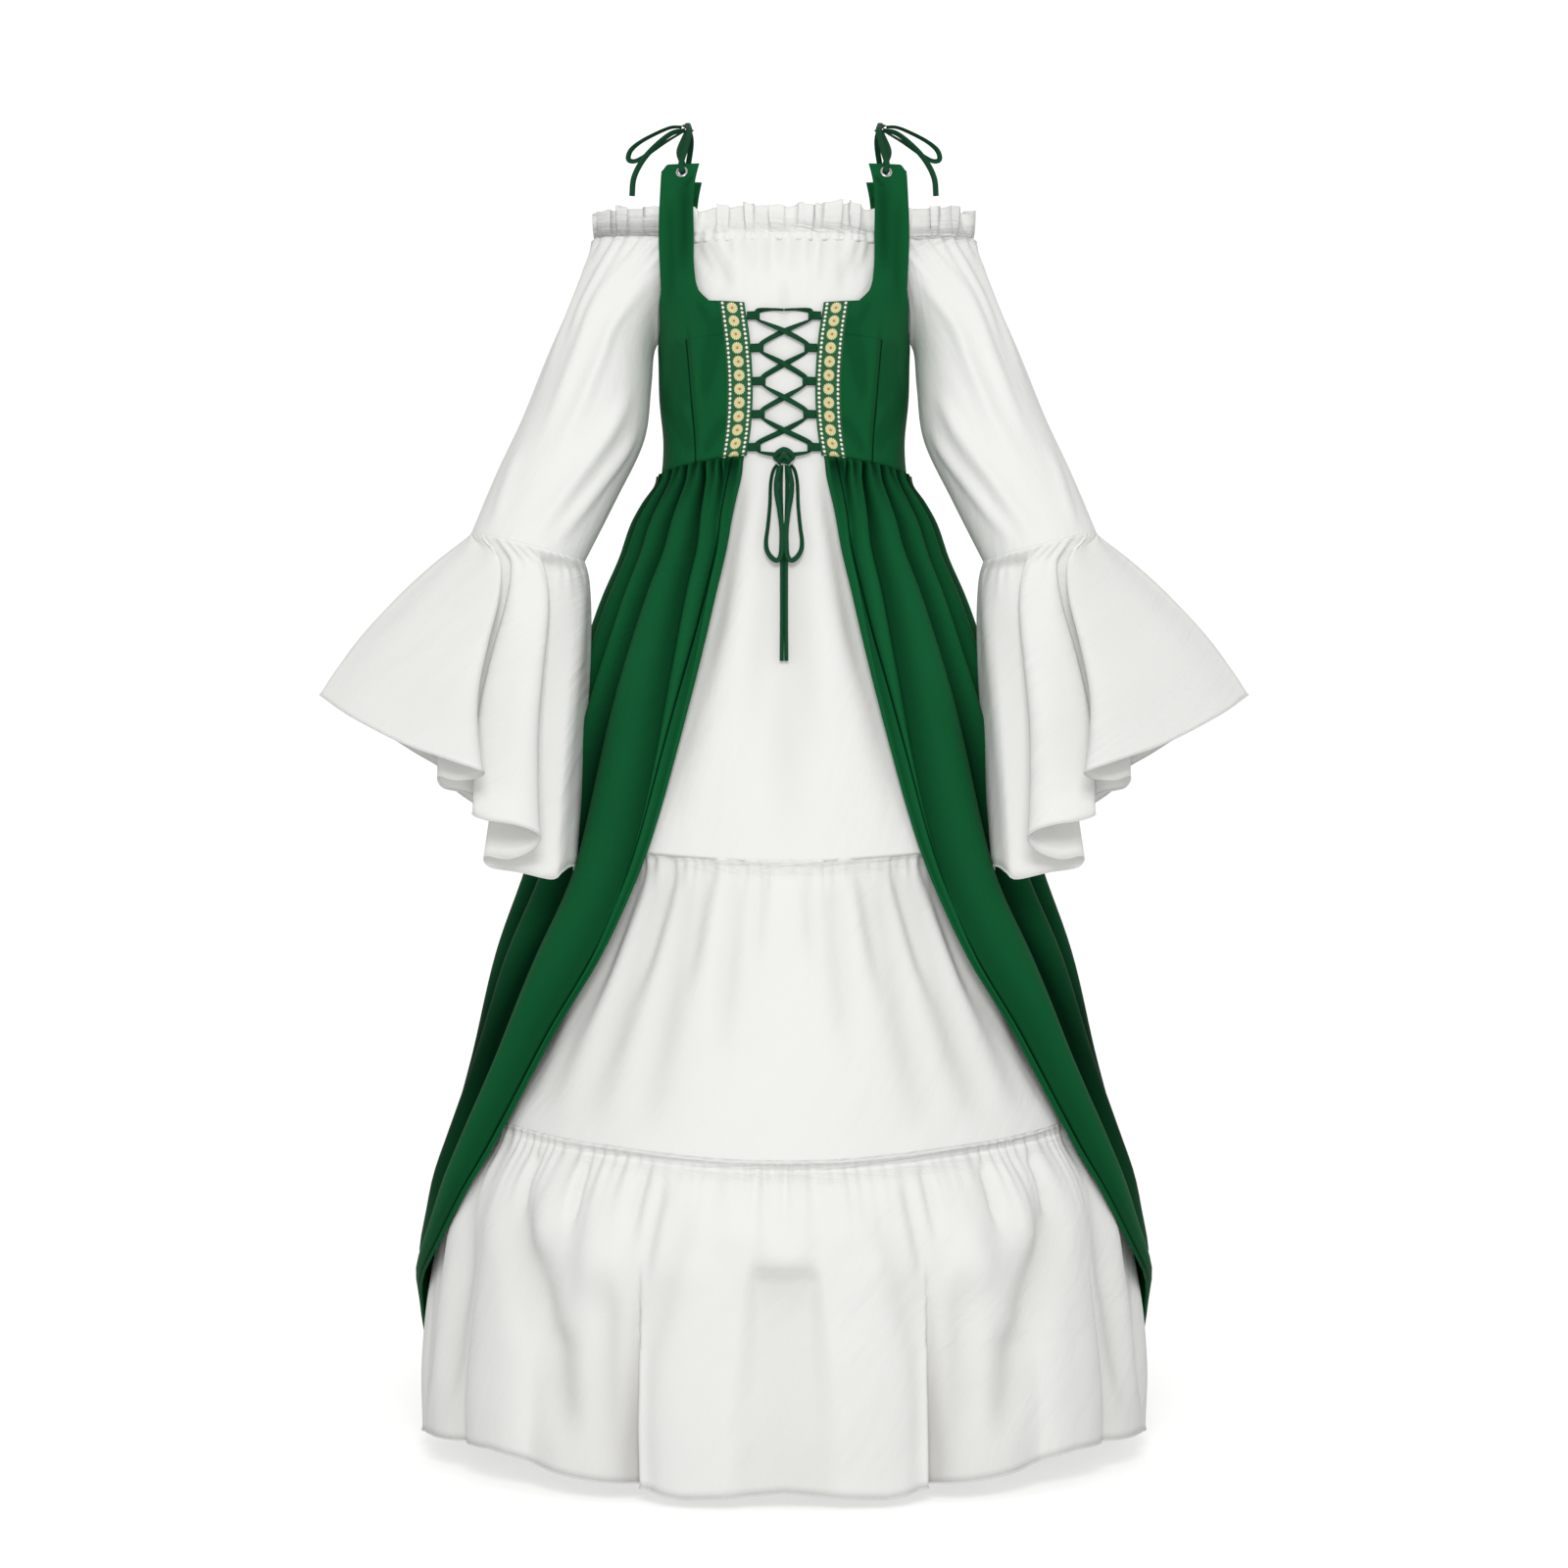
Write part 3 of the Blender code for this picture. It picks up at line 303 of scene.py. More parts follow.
def trimMaterial():  # woven ribbon: a row of round daisies between two rows of dots, from its UV in metres
    made, tree, shader = startMaterial("greenTrimWoven", 0.6, Sheen_Weight=0.1, Specular_IOR_Level=0.4)
    uv = clothUv(tree)
    parts = put(tree, "SeparateXYZ", {0: uv})
    across = times(parts.outputs[0], 1000.0)
    along = times(parts.outputs[1], 1000.0)
    step = calc("FRACT", calc("DIVIDE", along, trimLook["flowerPitch"]))
    down = times(calc("SUBTRACT", step, 0.5), trimLook["flowerPitch"])
    away = calc("SQRT", plus(times(across, across),
                                   times(down, down)))
    turn = calc("ARCTAN2", down, across)
    rays = calc("COSINE", times(turn, trimLook["petals"]))
    reach = plus(trimLook["flowerRadius"] - 0.55, times(rays, 0.55))
    flower = calc("LESS_THAN", away, reach)
    groove = times(calc("LESS_THAN", rays, -0.45),
                  calc("GREATER_THAN", away, trimLook["centreRadius"]))
    centre = calc("LESS_THAN", away, plus(trimLook["centreRadius"],
                                                times(rays, 0.35)))
    dotStep = calc("FRACT", calc("DIVIDE", along, trimLook["dotPitch"]))
    dotDown = times(calc("SUBTRACT", dotStep, 0.5), trimLook["dotPitch"])
    dotAcross = calc("SUBTRACT", calc("ABSOLUTE", across), trimLook["dotRow"])
    dot = calc("LESS_THAN", calc("SQRT", plus(
        times(dotAcross, dotAcross), times(dotDown, dotDown))),
        trimLook["dotRadius"])
    ribs = bands(tree, uv, 320.0, bands_direction="Y")
    tone = mixColour(ribs, (0.003, 0.070, 0.020, 1), (0.008, 0.150, 0.042, 1))
    petal = mixColour(groove, (0.96, 0.88, 0.50, 1), (0.62, 0.47, 0.13, 1))
    tone = mixColour(flower, tone, petal)
    tone = mixColour(centre, tone, (0.42, 0.22, 0.04, 1))
    tone = mixColour(dot, tone, (0.93, 0.92, 0.80, 1))
    tree.links.new(tone, shader.inputs["Base Color"])
    raised = times(calc("MAXIMUM", calc("SUBTRACT", flower, groove), dot), 0.0004)
    raised = plus(raised, times(ribs, 0.00008))
    bump(shader, raised)
    return made


laceBraid, eyeletMetal, trimWoven = laceMaterial(), metalMaterial(), trimMaterial()
print("materials ready")


# Mesh builders
def finishPiece(made, replaced):  # rides on the root, and hides the nodes that it replaces
    bpy.context.scene.collection.objects.link(made)
    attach(made, "root")
    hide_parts(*replaced)
    return made


def corners(grid, flip=False):  # the four corners of each cell, down first, or across first if flipped
    order = [grid[:-1, :-1], grid[1:, :-1], grid[1:, 1:], grid[:-1, 1:]]
    return np.stack(order[:1] + order[:0:-1] if flip else order, axis=2)


def pairs(across, down):  # the two coordinates of each point in one array
    return np.stack(np.broadcast_arrays(across, down), axis=-1)


def meshFrom(name, points, quads, uvs, material, values=None):  # points in millimetres, UV in metres
    mesh = bpy.data.meshes.new(name)
    mesh.from_pydata((points * mm).tolist(), [], quads.tolist())
    layer = mesh.uv_layers.new(name="cut")
    layer.data.foreach_set("uv", np.asarray(uvs, np.float32).reshape(-1))
    for key, value in (values or {}).items():
        mesh.attributes.new(key, "FLOAT", "POINT").data.foreach_set("value", np.asarray(value, np.float32))
    mesh.shade_smooth()
    mesh.materials.append(material)
    return bpy.data.objects.new(name, mesh)


def makeSheet(name, grid, material, replaced=(), closed=False, wall=0.8, keep=None, seam=None,
              gather=None, paintedShade=None):
    # a sheet through rows of points, top row first. Its UV is the distance along each row and down the
    # columns, in metres. The wall is added inside it.
    rows, columns = grid.shape[:2]
    number = np.arange(rows * columns).reshape(rows, columns)
    wrapped = np.concatenate([number, number[:, :1]], axis=1) if closed else number
    place = grid.reshape(-1, 3)[wrapped]
    across = np.linalg.norm(np.diff(place, axis=1), axis=2)
    along = np.concatenate([np.zeros((rows, 1)), np.cumsum(across, axis=1)], axis=1)
    down = np.concatenate([[0.0], np.cumsum(np.linalg.norm(np.diff(grid, axis=0), axis=2).mean(axis=1))])
    uv = pairs(along - along.mean(), down[:, None]) * mm
    quads, uvs = corners(wrapped), corners(uv)
    if keep is not None:
        quads, uvs = quads[keep], uvs[keep]
    quads, uvs = quads.reshape(-1, 4), uvs.reshape(-1, 2)
    used, flat = np.unique(quads, return_inverse=True)
    corner = grid.reshape(-1, 3)[quads]
    cross = np.cross(corner[:, 2] - corner[:, 0], corner[:, 3] - corner[:, 1])
    area = np.linalg.norm(cross, axis=1).sum() / 2 * mm * mm  # half the product of each face's diagonals
    print(f"{name}: {len(quads)} faces, {area:.4f} square metres of cloth")
    # each point carries its distance from a sewn line, its puckers and the painted shade in its folds
    values = {"seam": np.full((rows, columns), 99.0) if seam is None else seam,
              "gather": np.zeros((rows, columns)) if gather is None else gather * mm,
              "paintedShade": np.zeros((rows, columns)) if paintedShade is None else paintedShade}
    values = {key: np.broadcast_to(value, number.shape).reshape(-1)[used] for key, value in values.items()}
    made = meshFrom(name, grid.reshape(-1, 3)[used], flat.reshape(-1, 4), uvs, material, values)
    solidify = made.modifiers.new("wall", "SOLIDIFY")
    solidify.thickness = wall * mm
    solidify.offset = -1.0
    return finishPiece(made, replaced)


def makeTube(name, line, width, thickness, material, replaced=(), outward=(0, -1, 0), turn=None,
             sides=10, closed=False):
    # an oval carried along a line, its width kept across the outward direction and turned where asked
    line = np.asarray(line, float)
    count = len(line)
    tangent = np.gradient(line, axis=0)
    if closed:
        tangent = np.roll(line, -1, axis=0) - np.roll(line, 1, axis=0)
    tangent /= np.linalg.norm(tangent, axis=1, keepdims=True)
    outward = np.broadcast_to(np.asarray(outward, float), line.shape)
    side = np.cross(outward, tangent)
    side /= np.linalg.norm(side, axis=1, keepdims=True)
    up = np.cross(tangent, side)
    turn = np.zeros(count) if turn is None else np.asarray(turn, float)
    cos, sin = np.cos(turn)[:, None], np.sin(turn)[:, None]
    side, up = side * cos + up * sin, up * cos - side * sin
    ring = np.arange(sides) * 2 * np.pi / sides
    width = np.broadcast_to(np.asarray(width, float), (count,))[:, None]
    thickness = np.broadcast_to(np.asarray(thickness, float), (count,))[:, None]
    grid = (line[:, None] + side[:, None] * (width * np.cos(ring) / 2)[..., None]
            + up[:, None] * (thickness * np.sin(ring) / 2)[..., None])
    number = np.arange(count * sides).reshape(count, sides)
    number = np.concatenate([number, number[:, :1]], axis=1)
    if closed:
        number = np.concatenate([number, number[:1]], axis=0)
    run = lengths(line)
    run = np.append(run, run[-1] + np.linalg.norm(line[0] - line[-1])) if closed else run
    uv = pairs(np.linspace(0, 0.012, sides + 1)[None, :], (run * mm)[:, None])
    quads, uvs = corners(number, True).reshape(-1, 4), corners(uv, True).reshape(-1, 2)
    made = meshFrom(name, grid.reshape(-1, 3), quads, uvs, material)
    if not closed:  # a cap on each end
        shape = bmesh.new()
        shape.from_mesh(made.data)
        bmesh.ops.holes_fill(shape, edges=[e for e in shape.edges if e.is_boundary], sides=0)
        shape.to_mesh(made.data)
        shape.free()
    return finishPiece(made, replaced)


# Camera, light and floor
studio = {"height": -0.690, "distance": 3.4, "lens": 74.3, "sensor": 36.0, "worldPower": 0.50,
          "floor": -1386, "floorColour": (0.94, 0.94, 0.93, 1), "floorGlow": 0.45, "halfWidth": 9000,
          "bendFrom": 2000, "bendRadius": 1600}
studioLights = [  # name, place, target, size, power
    ("keyLight", (0.0, -3.8, 1.1), (0, 0, -0.7), 1.2, 56.0),
    ("lowLight", (0.0, -3.5, -1.2), (0, 0, -1.0), 1.2, 21.0),
    ("leftLight", (-3.4, -2.2, 0.4), (0, 0, -0.7), 1.6, 9.0),
    ("rightLight", (3.4, -2.2, 0.4), (0, 0, -0.7), 1.6, 9.0),
    ("backLight", (0.0, 3.2, 1.6), (0, 0, -0.7), 2.0, 9.0)]

bpy.context.scene.camera = bpy.data.objects.new("photoCamera", bpy.data.cameras.new("photoCamera"))
camera = bpy.context.scene.camera
camera.location = (0.0, -studio["distance"], studio["height"])
camera.rotation_euler = (math.pi / 2, 0.0, 0.0)
camera.data.lens = studio["lens"]
camera.data.sensor_width = studio["sensor"]
bpy.context.scene.collection.objects.link(camera)


def softLight(name, place, target, size, power):  # a square light at its place, turned to its target
    data = bpy.data.lights.new(name, "AREA")
    data.shape, data.size, data.energy = "SQUARE", size, power
    made = bpy.data.objects.new(name, data)
    away = np.array(place, float) - np.array(target, float)
    made.location = place
    flat = math.hypot(away[0], away[1])
    made.rotation_euler = (math.atan2(flat, away[2]), 0.0, math.atan2(away[0], -away[1]))
    bpy.context.scene.collection.objects.link(made)


for light in studioLights:
    softLight(*light)
world = bpy.data.worlds.new("studioAir")
bpy.context.scene.world = world
world.use_nodes = True
world.node_tree.nodes["Background"].inputs[0].default_value = (1.0, 1.0, 1.0, 1)
world.node_tree.nodes["Background"].inputs[1].default_value = studio["worldPower"]
bpy.context.scene.view_settings.view_transform = "Standard"

bend = np.radians(np.linspace(0, 90, 40))  # a flat floor, a quarter turn, then a wall
run = studio["bendFrom"] + studio["bendRadius"] * np.sin(bend)
rise = studio["bendRadius"] * (1 - np.cos(bend))
floorRun = np.array([(-6000, 0), (-2000, 0), (1000, 0), *zip(run, rise), (3600, 4000), (3600, 7000)])
floorGrid = np.stack(np.broadcast_arrays(np.linspace(-studio["halfWidth"], studio["halfWidth"], 7)[None, :],
                                         floorRun[:, :1], floorRun[:, 1:] + studio["floor"]), axis=-1)
floorNumber = np.arange(floorGrid.size // 3).reshape(-1, 7)
floorMesh = bpy.data.meshes.new("studioFloor")
floorMesh.from_pydata((floorGrid.reshape(-1, 3) * mm).tolist(), [],
                      corners(floorNumber, True).reshape(-1, 4).tolist())
floorMesh.shade_smooth()
floorLook, floorTree, floorShader = startMaterial("paleFloor", 0.9)
floorShader.inputs["Base Color"].default_value = studio["floorColour"]
floorShader.inputs["Emission Color"].default_value = (1.0, 1.0, 1.0, 1)
floorShader.inputs["Emission Strength"].default_value = studio["floorGlow"]
floorMesh.materials.append(floorLook)
studioFloor = bpy.data.objects.new("studioFloor", floorMesh)
bpy.context.scene.collection.objects.link(studioFloor)
studioFloor.visible_diffuse = False  # the bright floor is a background, and doesn't light the cloth
studioFloor.visible_glossy = False
print("camera, light and floor ready")


# The gown's forms: drop, half width, depth in front, depth behind
chemiseForm = [
    (100, 148, 82, 80), (125, 146.5, 87, 83.5), (150, 142, 98, 88), (180, 138, 106, 91),
    (225, 131, 114, 92), (290, 128.5, 104, 88), (335, 124.5, 97, 85), (362, 126, 95, 85),
    (400, 134, 101, 93), (460, 152, 113, 106), (530, 178, 131, 126), (650, 214, 160, 158),
    (765, 243, 188, 190), (860, 266, 210, 214), (980, 300, 240, 246), (1055, 322, 262, 266),
    (1085, 338, 276, 280), (1120, 350, 287, 291), (1220, 373, 301, 304), (1290, 380, 307, 309),
    (1380, 380, 311, 313)]
strapForm = [
    (45, 196, 58, 58), (90, 195, 80, 80), (128, 190, 93, 91), (160, 169, 102, 95), (195, 152, 112, 98),
    (225, 140, 116, 96)]
overskirtForm = [
    (350, 126.2, 96.8, 86), (375, 129.4, 97.4, 88), (395, 139, 105, 100), (413, 147, 111, 107),
    (452, 158, 120, 118), (494, 174, 131, 132), (528, 185, 141, 144), (650, 222, 168, 174),
    (782, 253, 198, 206), (855, 277, 217, 230), (980, 308, 247, 262), (1055, 332, 270, 284),
    (1105, 353, 290, 306), (1138, 362, 298, 312), (1197, 376, 307, 320), (1240, 381, 312, 325),
    (1345, 382, 320, 334)]
neck = {"drop": 125.0, "shoulderDrop": 120.0, "seamAngle": 50.1, "reach": 84.0, "gap": 0.8}
lacedEdge = [(195, 40.5), (247, 34), (290, 32), (325, 34), (360, 39.5)]


def frontPoint(x, drop, out):  # the point x from the centre line, a little out from the chemise's front
    halfWidth, depth = tableValue(chemiseForm, drop, 1), tableValue(chemiseForm, drop, 2)
    return around((halfWidth, depth), np.arcsin(x / (halfWidth + out)), drop, out)


# The laces and the bow
lacing = {"width": 5.6, "loopWidth": 5.2, "tailWidth": 4.3, "thickness": 1.7, "tabReach": 12.0,
          "tabs": (214, 247, 280, 313, 346), "rootGap": 1.3, "out": 3.6, "under": 2.2, "over": 4.6,
          "knotDrop": 357.0, "knotOut": 5.2, "samples": 12}


def tabTip(drop):  # how far the tab's tip is from the centre line
    return float(tableValue(lacedEdge, drop, 1)) - lacing["rootGap"] - lacing["tabReach"]


def smoothLine(stops, samples):  # a smooth curve through the stops
    count = len(stops)
    at = np.linspace(0, count - 1, (count - 1) * samples + 1)
    return smoothValue(at, np.arange(count), np.asarray(stops, float))


def frontLine(stops, samples, side=1):  # stops of (x, drop, out), laid on the chemise's front
    stops = smoothLine(stops, samples)
    return np.array([frontPoint(side * x, drop, out) for x, drop, out in stops])


def makeCord(name, line, width, thickness, replaced, turn=None, outward=(0, -1, 0)):
    # a flat lace along the line
    made = makeTube(name, line, width, thickness, laceBraid, [replaced], outward, turn)
    line = np.asarray(line) * mm


def makeKnot(name, line, width, thickness, outward, replaced):  # one turn of the lace pulled tight
    return makeTube(name, line, width, thickness, laceBraid, replaced, outward, sides=12)


def bowKnotLine():  # a flat oval turn over the crossing, then a smaller one pulled tight below it
    turn = np.linspace(-0.35, 1.65, 60) * np.pi * 2
    small = ease((turn - np.pi) / np.pi)
    x = (8.6 - 4.0 * small) * np.cos(turn)
    down = 353.6 - (4.6 - 1.2 * small) * np.sin(turn) + 5.2 * small + 0.30 * np.abs(x)
    out = 5.6 + 1.6 * np.sin(turn + 0.6) + 1.4 * small
    return np.array([frontPoint(*point) for point in zip(x, down, out)])


bowKnot = makeKnot("bowKnot", bowKnotLine(), 5.6, 2.6, (0, -1, 0), ["lace_knot"])


def lacingLine(first):
    # down through each tab and across to the next, over and under in turn; each stop carries its twist
    stops, twists = [(0.2 * first, 209.0, 4.2), (first * 12.0, 208.4, 4.0)], [1.25, 1.25]
    side = first
    for number, middle in enumerate(lacing["tabs"]):
        if number:
            over = (number % 2 == 0) == (first > 0)
            crossing = (middle + lacing["tabs"][number - 1]) / 2
            stops.append((0.0, crossing, lacing["over"] if over else lacing["under"]))
            twists.append(0.15)
            side = -side
        tip = tabTip(middle)
        stops += [(side * (tip + past), middle + down, lacing["out"])
                  for past, down in ((1.6, -4.6), (2.6, 0.0), (1.4, 5.0))]
        twists += [0.5, 1.0, 1.15]
    stops.append((side * 7.0, lacing["knotDrop"] - 2.5, lacing["knotOut"]))
    twists.append(0.4)
    line = frontLine(stops, lacing["samples"])
    turn = np.interp(np.arange(len(line)) / lacing["samples"], np.arange(len(twists)), twists)
    return line, turn


bowLoop = [
    (7, 364.5, 6.4), (11.2, 371, 5.4), (13.6, 384, 4.6), (14.4, 406, 4.4), (16.4, 428, 4.6),
    (18.2, 443, 5.2), (17.2, 453, 6.2), (12.6, 460.5, 7.2), (7, 463.5, 7.8), (3.2, 458, 7.6),
    (2.2, 446, 7.2), (2.3, 430, 7), (4.4, 412, 7.4), (7.4, 395, 8.6), (7.8, 382, 9.4), (4.6, 366.6, 9.6)]
laceTail = [
    (2.7, 364.9, 4.2), (3.3, 385, 3.4), (2.9, 410, 2.9), (2.1, 440, 2.7), (2, 485, 2.7), (2, 525, 2.7),
    (2.3, 566, 2.7)]

for word, side in (("Left", 1), ("Right", -1)):
    low = word.lower()
    line, turn = lacingLine(side)
    makeCord(f"lace{word}", line, lacing["width"], lacing["thickness"], f"lace_{low}",
             turn * side)
    line = frontLine(bowLoop, 10, side)
    turn = np.interp(np.arange(len(line)), [0, 45, 70, 105, len(line) - 1], [1.0, 0.7, 0.15, 0.1, 0.5])
    makeCord(f"bowLoop{word}", line, lacing["loopWidth"], lacing["thickness"], f"bow_loop_{low}",
             side * turn)
    line = frontLine(laceTail, 12, side)
    makeCord(f"laceTail{word}", line, lacing["tailWidth"], lacing["thickness"], f"lace_tail_{low}",
             side * 0.25 * np.ones(len(line)))
print("laces ready")


# Shoulder straps: the form that they lie on, their eyelets and ties
strap = {"merge": (165.0, 225.0), "layerGap": 1.1, "wall": 1.2, "eyeletSide": 105.5, "eyeletDrop": 57.6,
         "eyeletRadius": 6.4, "eyeletHole": 3.7, "tieWidth": 6.0, "loopWidth": 5.6, "tieThickness": 1.5,
         "knot": (101.0, 0.0, -1.0)}


def bodiceRadii(angle, drop):  # over the chemise below, and the strap form above, blended between
    merge = ease((drop - strap["merge"][0]) / (strap["merge"][1] - strap["merge"][0]))
    over = [radius + strap["layerGap"] + strap["wall"] for radius in formRadii(chemiseForm, angle, drop)]
    return [a + (b - a) * merge for a, b in zip(formRadii(strapForm, angle, drop), over)]


def strapPoint(side, drop, end):  # on the left strap's face, in front (-1) or behind (+1)
    angle = math.asin(side / float(bodiceRadii(0.0, drop)[0]))
    angle = angle if end < 0 else math.pi - angle
    return around(bodiceRadii(angle, drop), angle, drop)


def strapFace(end):  # the eyelet's centre, and the strap's outward normal there
    side, drop = strap["eyeletSide"], strap["eyeletDrop"]
    across = strapPoint(side + 5, drop, end) - strapPoint(side - 5, drop, end)
    up = strapPoint(side, drop - 5, end) - strapPoint(side, drop + 5, end)
    normal = np.cross(across, up) * -end
    return strapPoint(side, drop, end), normal / np.linalg.norm(normal)


def makeEyelet(name, centre, normal, replaced):  # a small rounded profile turned round the hole
    across = np.cross([0.0, 0.0, 1.0], normal)
    across /= np.linalg.norm(across)
    up = np.cross(normal, across)
    turn = np.arange(48)[:, None] * 2 * np.pi / 48
    bend = np.arange(12)[None, :] * 2 * np.pi / 12
    middle = (strap["eyeletRadius"] + strap["eyeletHole"]) / 2
    half = (strap["eyeletRadius"] - strap["eyeletHole"]) / 2
    radius, height = middle + half * np.cos(bend), 0.95 + 0.75 * np.sin(bend)
    grid = (centre + (np.cos(turn) * radius)[..., None] * across + (np.sin(turn) * radius)[..., None] * up
            + (height + 0 * turn)[..., None] * normal)
    number = np.arange(48 * 12).reshape(48, 12)
    quads = corners(np.pad(number, ((0, 1), (0, 1)), mode="wrap")).reshape(-1, 4)
    made = meshFrom(name, grid.reshape(-1, 3), quads, np.zeros((len(quads) * 4, 2)), eyeletMetal)
    return finishPiece(made, replaced)


def tieLine(end, centre, normal):  # knot, down outside, through the hole, and up inside to the knot
    above = np.cross(normal, [1.0, 0.0, 0.0])
    above *= np.sign(above[2]) * 4.0 / np.linalg.norm(above)
    middle = centre - normal * strap["wall"] / 2
    outside, inside = normal * 4.4, -normal * 3.0
    start = np.array(strap["knot"]) + np.array([0.0, end * 7.4, 3.4])
    finish = np.array(strap["knot"]) + np.array([0.0, end * 7.4, -4.0])
    down, up = middle + outside + 3.2 * above - start, finish - (middle + inside + 3.0 * above)
    return smoothLine([
        start, start + 0.38 * down + np.array([-4.5, end * 3.0, 5.0]),
        start + 0.78 * down + np.array([-3.2, end * 2.0, 3.5]), middle + outside + 2.4 * above,
        middle + outside * 0.9 + 1.0 * above, middle + outside * 0.4 + 0.1 * above,
        middle + inside * 0.6 + 0.1 * above, middle + inside + 1.2 * above, middle + inside + 3.0 * above,
        finish - 0.65 * up + np.array([5.5, end, 1.5]), finish], 8)


tieLoop = [
    (107.5, -1, 0), (119, -3, -1), (135, -5, -8), (151, -6, -17), (161, -6, -26), (163, -5, -35),
    (155, -4, -36), (140, -4, -27), (124, -3, -16), (107.5, -1.5, -6)]
tieTail = [
    (104.2, -5, -4.4), (118, -12, -9), (134, -14, -22), (148, -15, -38), (157, -15, -56), (159, -15, -75)]

for word, side in (("Left", 1), ("Right", -1)):
    low, mirror = word.lower(), np.array([side, 1.0, 1.0])
    turn = np.linspace(-0.4, 1.6, 36) * 2 * np.pi
    line = np.stack([3.8 * np.cos(turn), 4.4 * np.sin(turn), 3.0 * np.sin(turn + 1.1)], axis=1)
    line = (line + strap["knot"]) * mirror
    knot = makeKnot(f"tieKnot{word}", line, 5.0, 2.4, (0, 0, 1), [f"tie_knot_{low}"])
    for place, end in (("Front", -1), ("Back", 1)):
        centre, normal = strapFace(end)
        line = tieLine(end, centre, normal) * mirror
        node = f"{place.lower()}_{low}"
        makeCord(f"tie{place}{word}", line, strap["tieWidth"], strap["tieThickness"], f"tie_{node}",
                 outward=np.cross([1.0, 0.0, 0.0], np.gradient(line, axis=0)))
        makeEyelet(f"eyelet{place}{word}", centre * mirror, normal * mirror, [f"eyelet_{node}"])
    line = smoothLine(tieLoop, 8) * mirror
    turn = np.interp(np.arange(len(line)), [0, 24, 40, 52, len(line) - 1], [1.2, 0.9, 0.2, 0.5, 1.1])
    makeCord(f"tieLoop{word}", line, strap["loopWidth"], strap["tieThickness"], f"tie_loop_{low}",
             turn * side)
    line = smoothLine(tieTail, 10) * mirror
    makeCord(f"tieTail{word}", line, strap["tieWidth"], strap["tieThickness"], f"tie_tail_{low}",
             np.linspace(0.9, 0.0, len(line)) * side)
print("ties ready")


# The chemise's body
seams = {"neck": 125, "middle": 765, "bottom": 1055, "riseFrom": 600, "riseTo": 1180}  # drops of the seams
chemise = {"underarm": 224, "columns": 120, "rows": ((125, 224, 40), (229, 360, 24), (368, 765, 42)),
           "gatherDepth": 2.2, "gathers": 62, "gatherFade": 22, "pull": 1.5, "wall": 0.8,
           "flat": (0.56, 0.66), "seam": [(125, 50.1), (180, 68), (205, 79), (224, 90)]}
seamRises = [  # angle, then how far the middle and the bottom tier's seam are drawn up there
    (0, 0, 0), (10, 1, 1), (21, 4, 5), (30, 6.5, 9), (40, 9.5, 12.5), (51, 12, 17), (63, 13, 21.5),
    (76, 12, 24), (100, 8, 14), (140, 4, 6), (180, 6, 8)]
chemiseCreases = [  # x, drop at the top and bottom, half width, height
    (-96, 128, -70, 172, 5, -2.6), (-84, 128, -56, 182, 4.5, -2.2), (-70, 128, -52, 160, 4, 1.6),
    (-62, 128, -60, 190, 6, -1.8), (-40, 128, -34, 168, 5, -1.6), (-22, 128, -20, 172, 5.5, -1.8),
    (-6, 128, -4, 160, 4.5, -1.4), (10, 128, 8, 170, 5, -1.8), (27, 128, 24, 160, 5, -1.4),
    (45, 128, 38, 176, 5, -2), (60, 128, 60, 190, 6, -1.8), (72, 128, 54, 160, 4, 1.6),
    (84, 128, 58, 182, 4.5, -2.2), (96, 128, 72, 172, 5, -2.6), (0, 178, 0, 232, 4, -2.4),
    (-8, 380, -36, 640, 14, -3), (9, 390, 32, 660, 14, -3), (-38, 365, -84, 600, 10, -4),
    (38, 365, 84, 600, 10, -4), (-60, 470, -118, 740, 14, -4), (60, 470, 118, 740, 14, -4),
    (2, 470, 4, 745, 20, -3)]


def drawnUp(angle, drop):
    # the drop less the seams' rise, which goes from one seam's to the other's and fades out past them
    at = np.abs((np.degrees(angle) + 180) % 360 - 180)
    middle, bottom = tableValue(seamRises, at, 1), tableValue(seamRises, at, 2)
    share = np.clip((drop - seams["middle"]) / (seams["bottom"] - seams["middle"]), 0, 1)
    rise = middle + (bottom - middle) * share
    above = ease((drop - seams["riseFrom"]) / (seams["middle"] - seams["riseFrom"]))
    return drop - rise * above * ease((seams["riseTo"] - drop) / (seams["riseTo"] - seams["bottom"]))


def chemiseGrid(facing, seed):
    # an ellipse round the body, cut away at the sleeve seams; gathers run out below the elastic
    drop = steps(*chemise["rows"])[:, None]
    halfWidth = tableValue(chemiseForm, drop, 1)
    extent = np.where(drop < chemise["underarm"], np.radians(tableValue(chemise["seam"], drop, 1)),
                      np.pi / 2 - 0.1 / halfWidth)
    angle = facing + np.linspace(-1, 1, chemise["columns"] + 1)[None, :] * extent
    local = angle - facing
    x = np.sin(local) * halfWidth
    fade = np.exp(-(drop - seams["neck"]) / chemise["gatherFade"])
    gather = np.sin(local * chemise["gathers"] + 2.0 * uneven(local * 6, 0, seed))
    gather = gather * (0.6 + 0.4 * uneven(local * 9, 0, seed + 1))
    out = chemise["gatherDepth"] * gather * fade * ease((drop - seams["neck"]) / 6) - chemise["pull"] * fade
    out = out + creases(x if facing == 0 else -x, drop, chemiseCreases) * (1 if facing == 0 else 0.8)
    out = np.where(out < 0, out, out / 2)
    low = drawnUp(angle, drop)
    grid = allowance(around(formRadii(chemiseForm, angle, low), angle, low, out))
    # the third value is painted shade, darker where the creases sink the cloth in
    return grid, carried(np.exp(-(low - seams["neck"]) / 14) * 1.4), carried(np.clip(-out / 16, 0, 0.3))


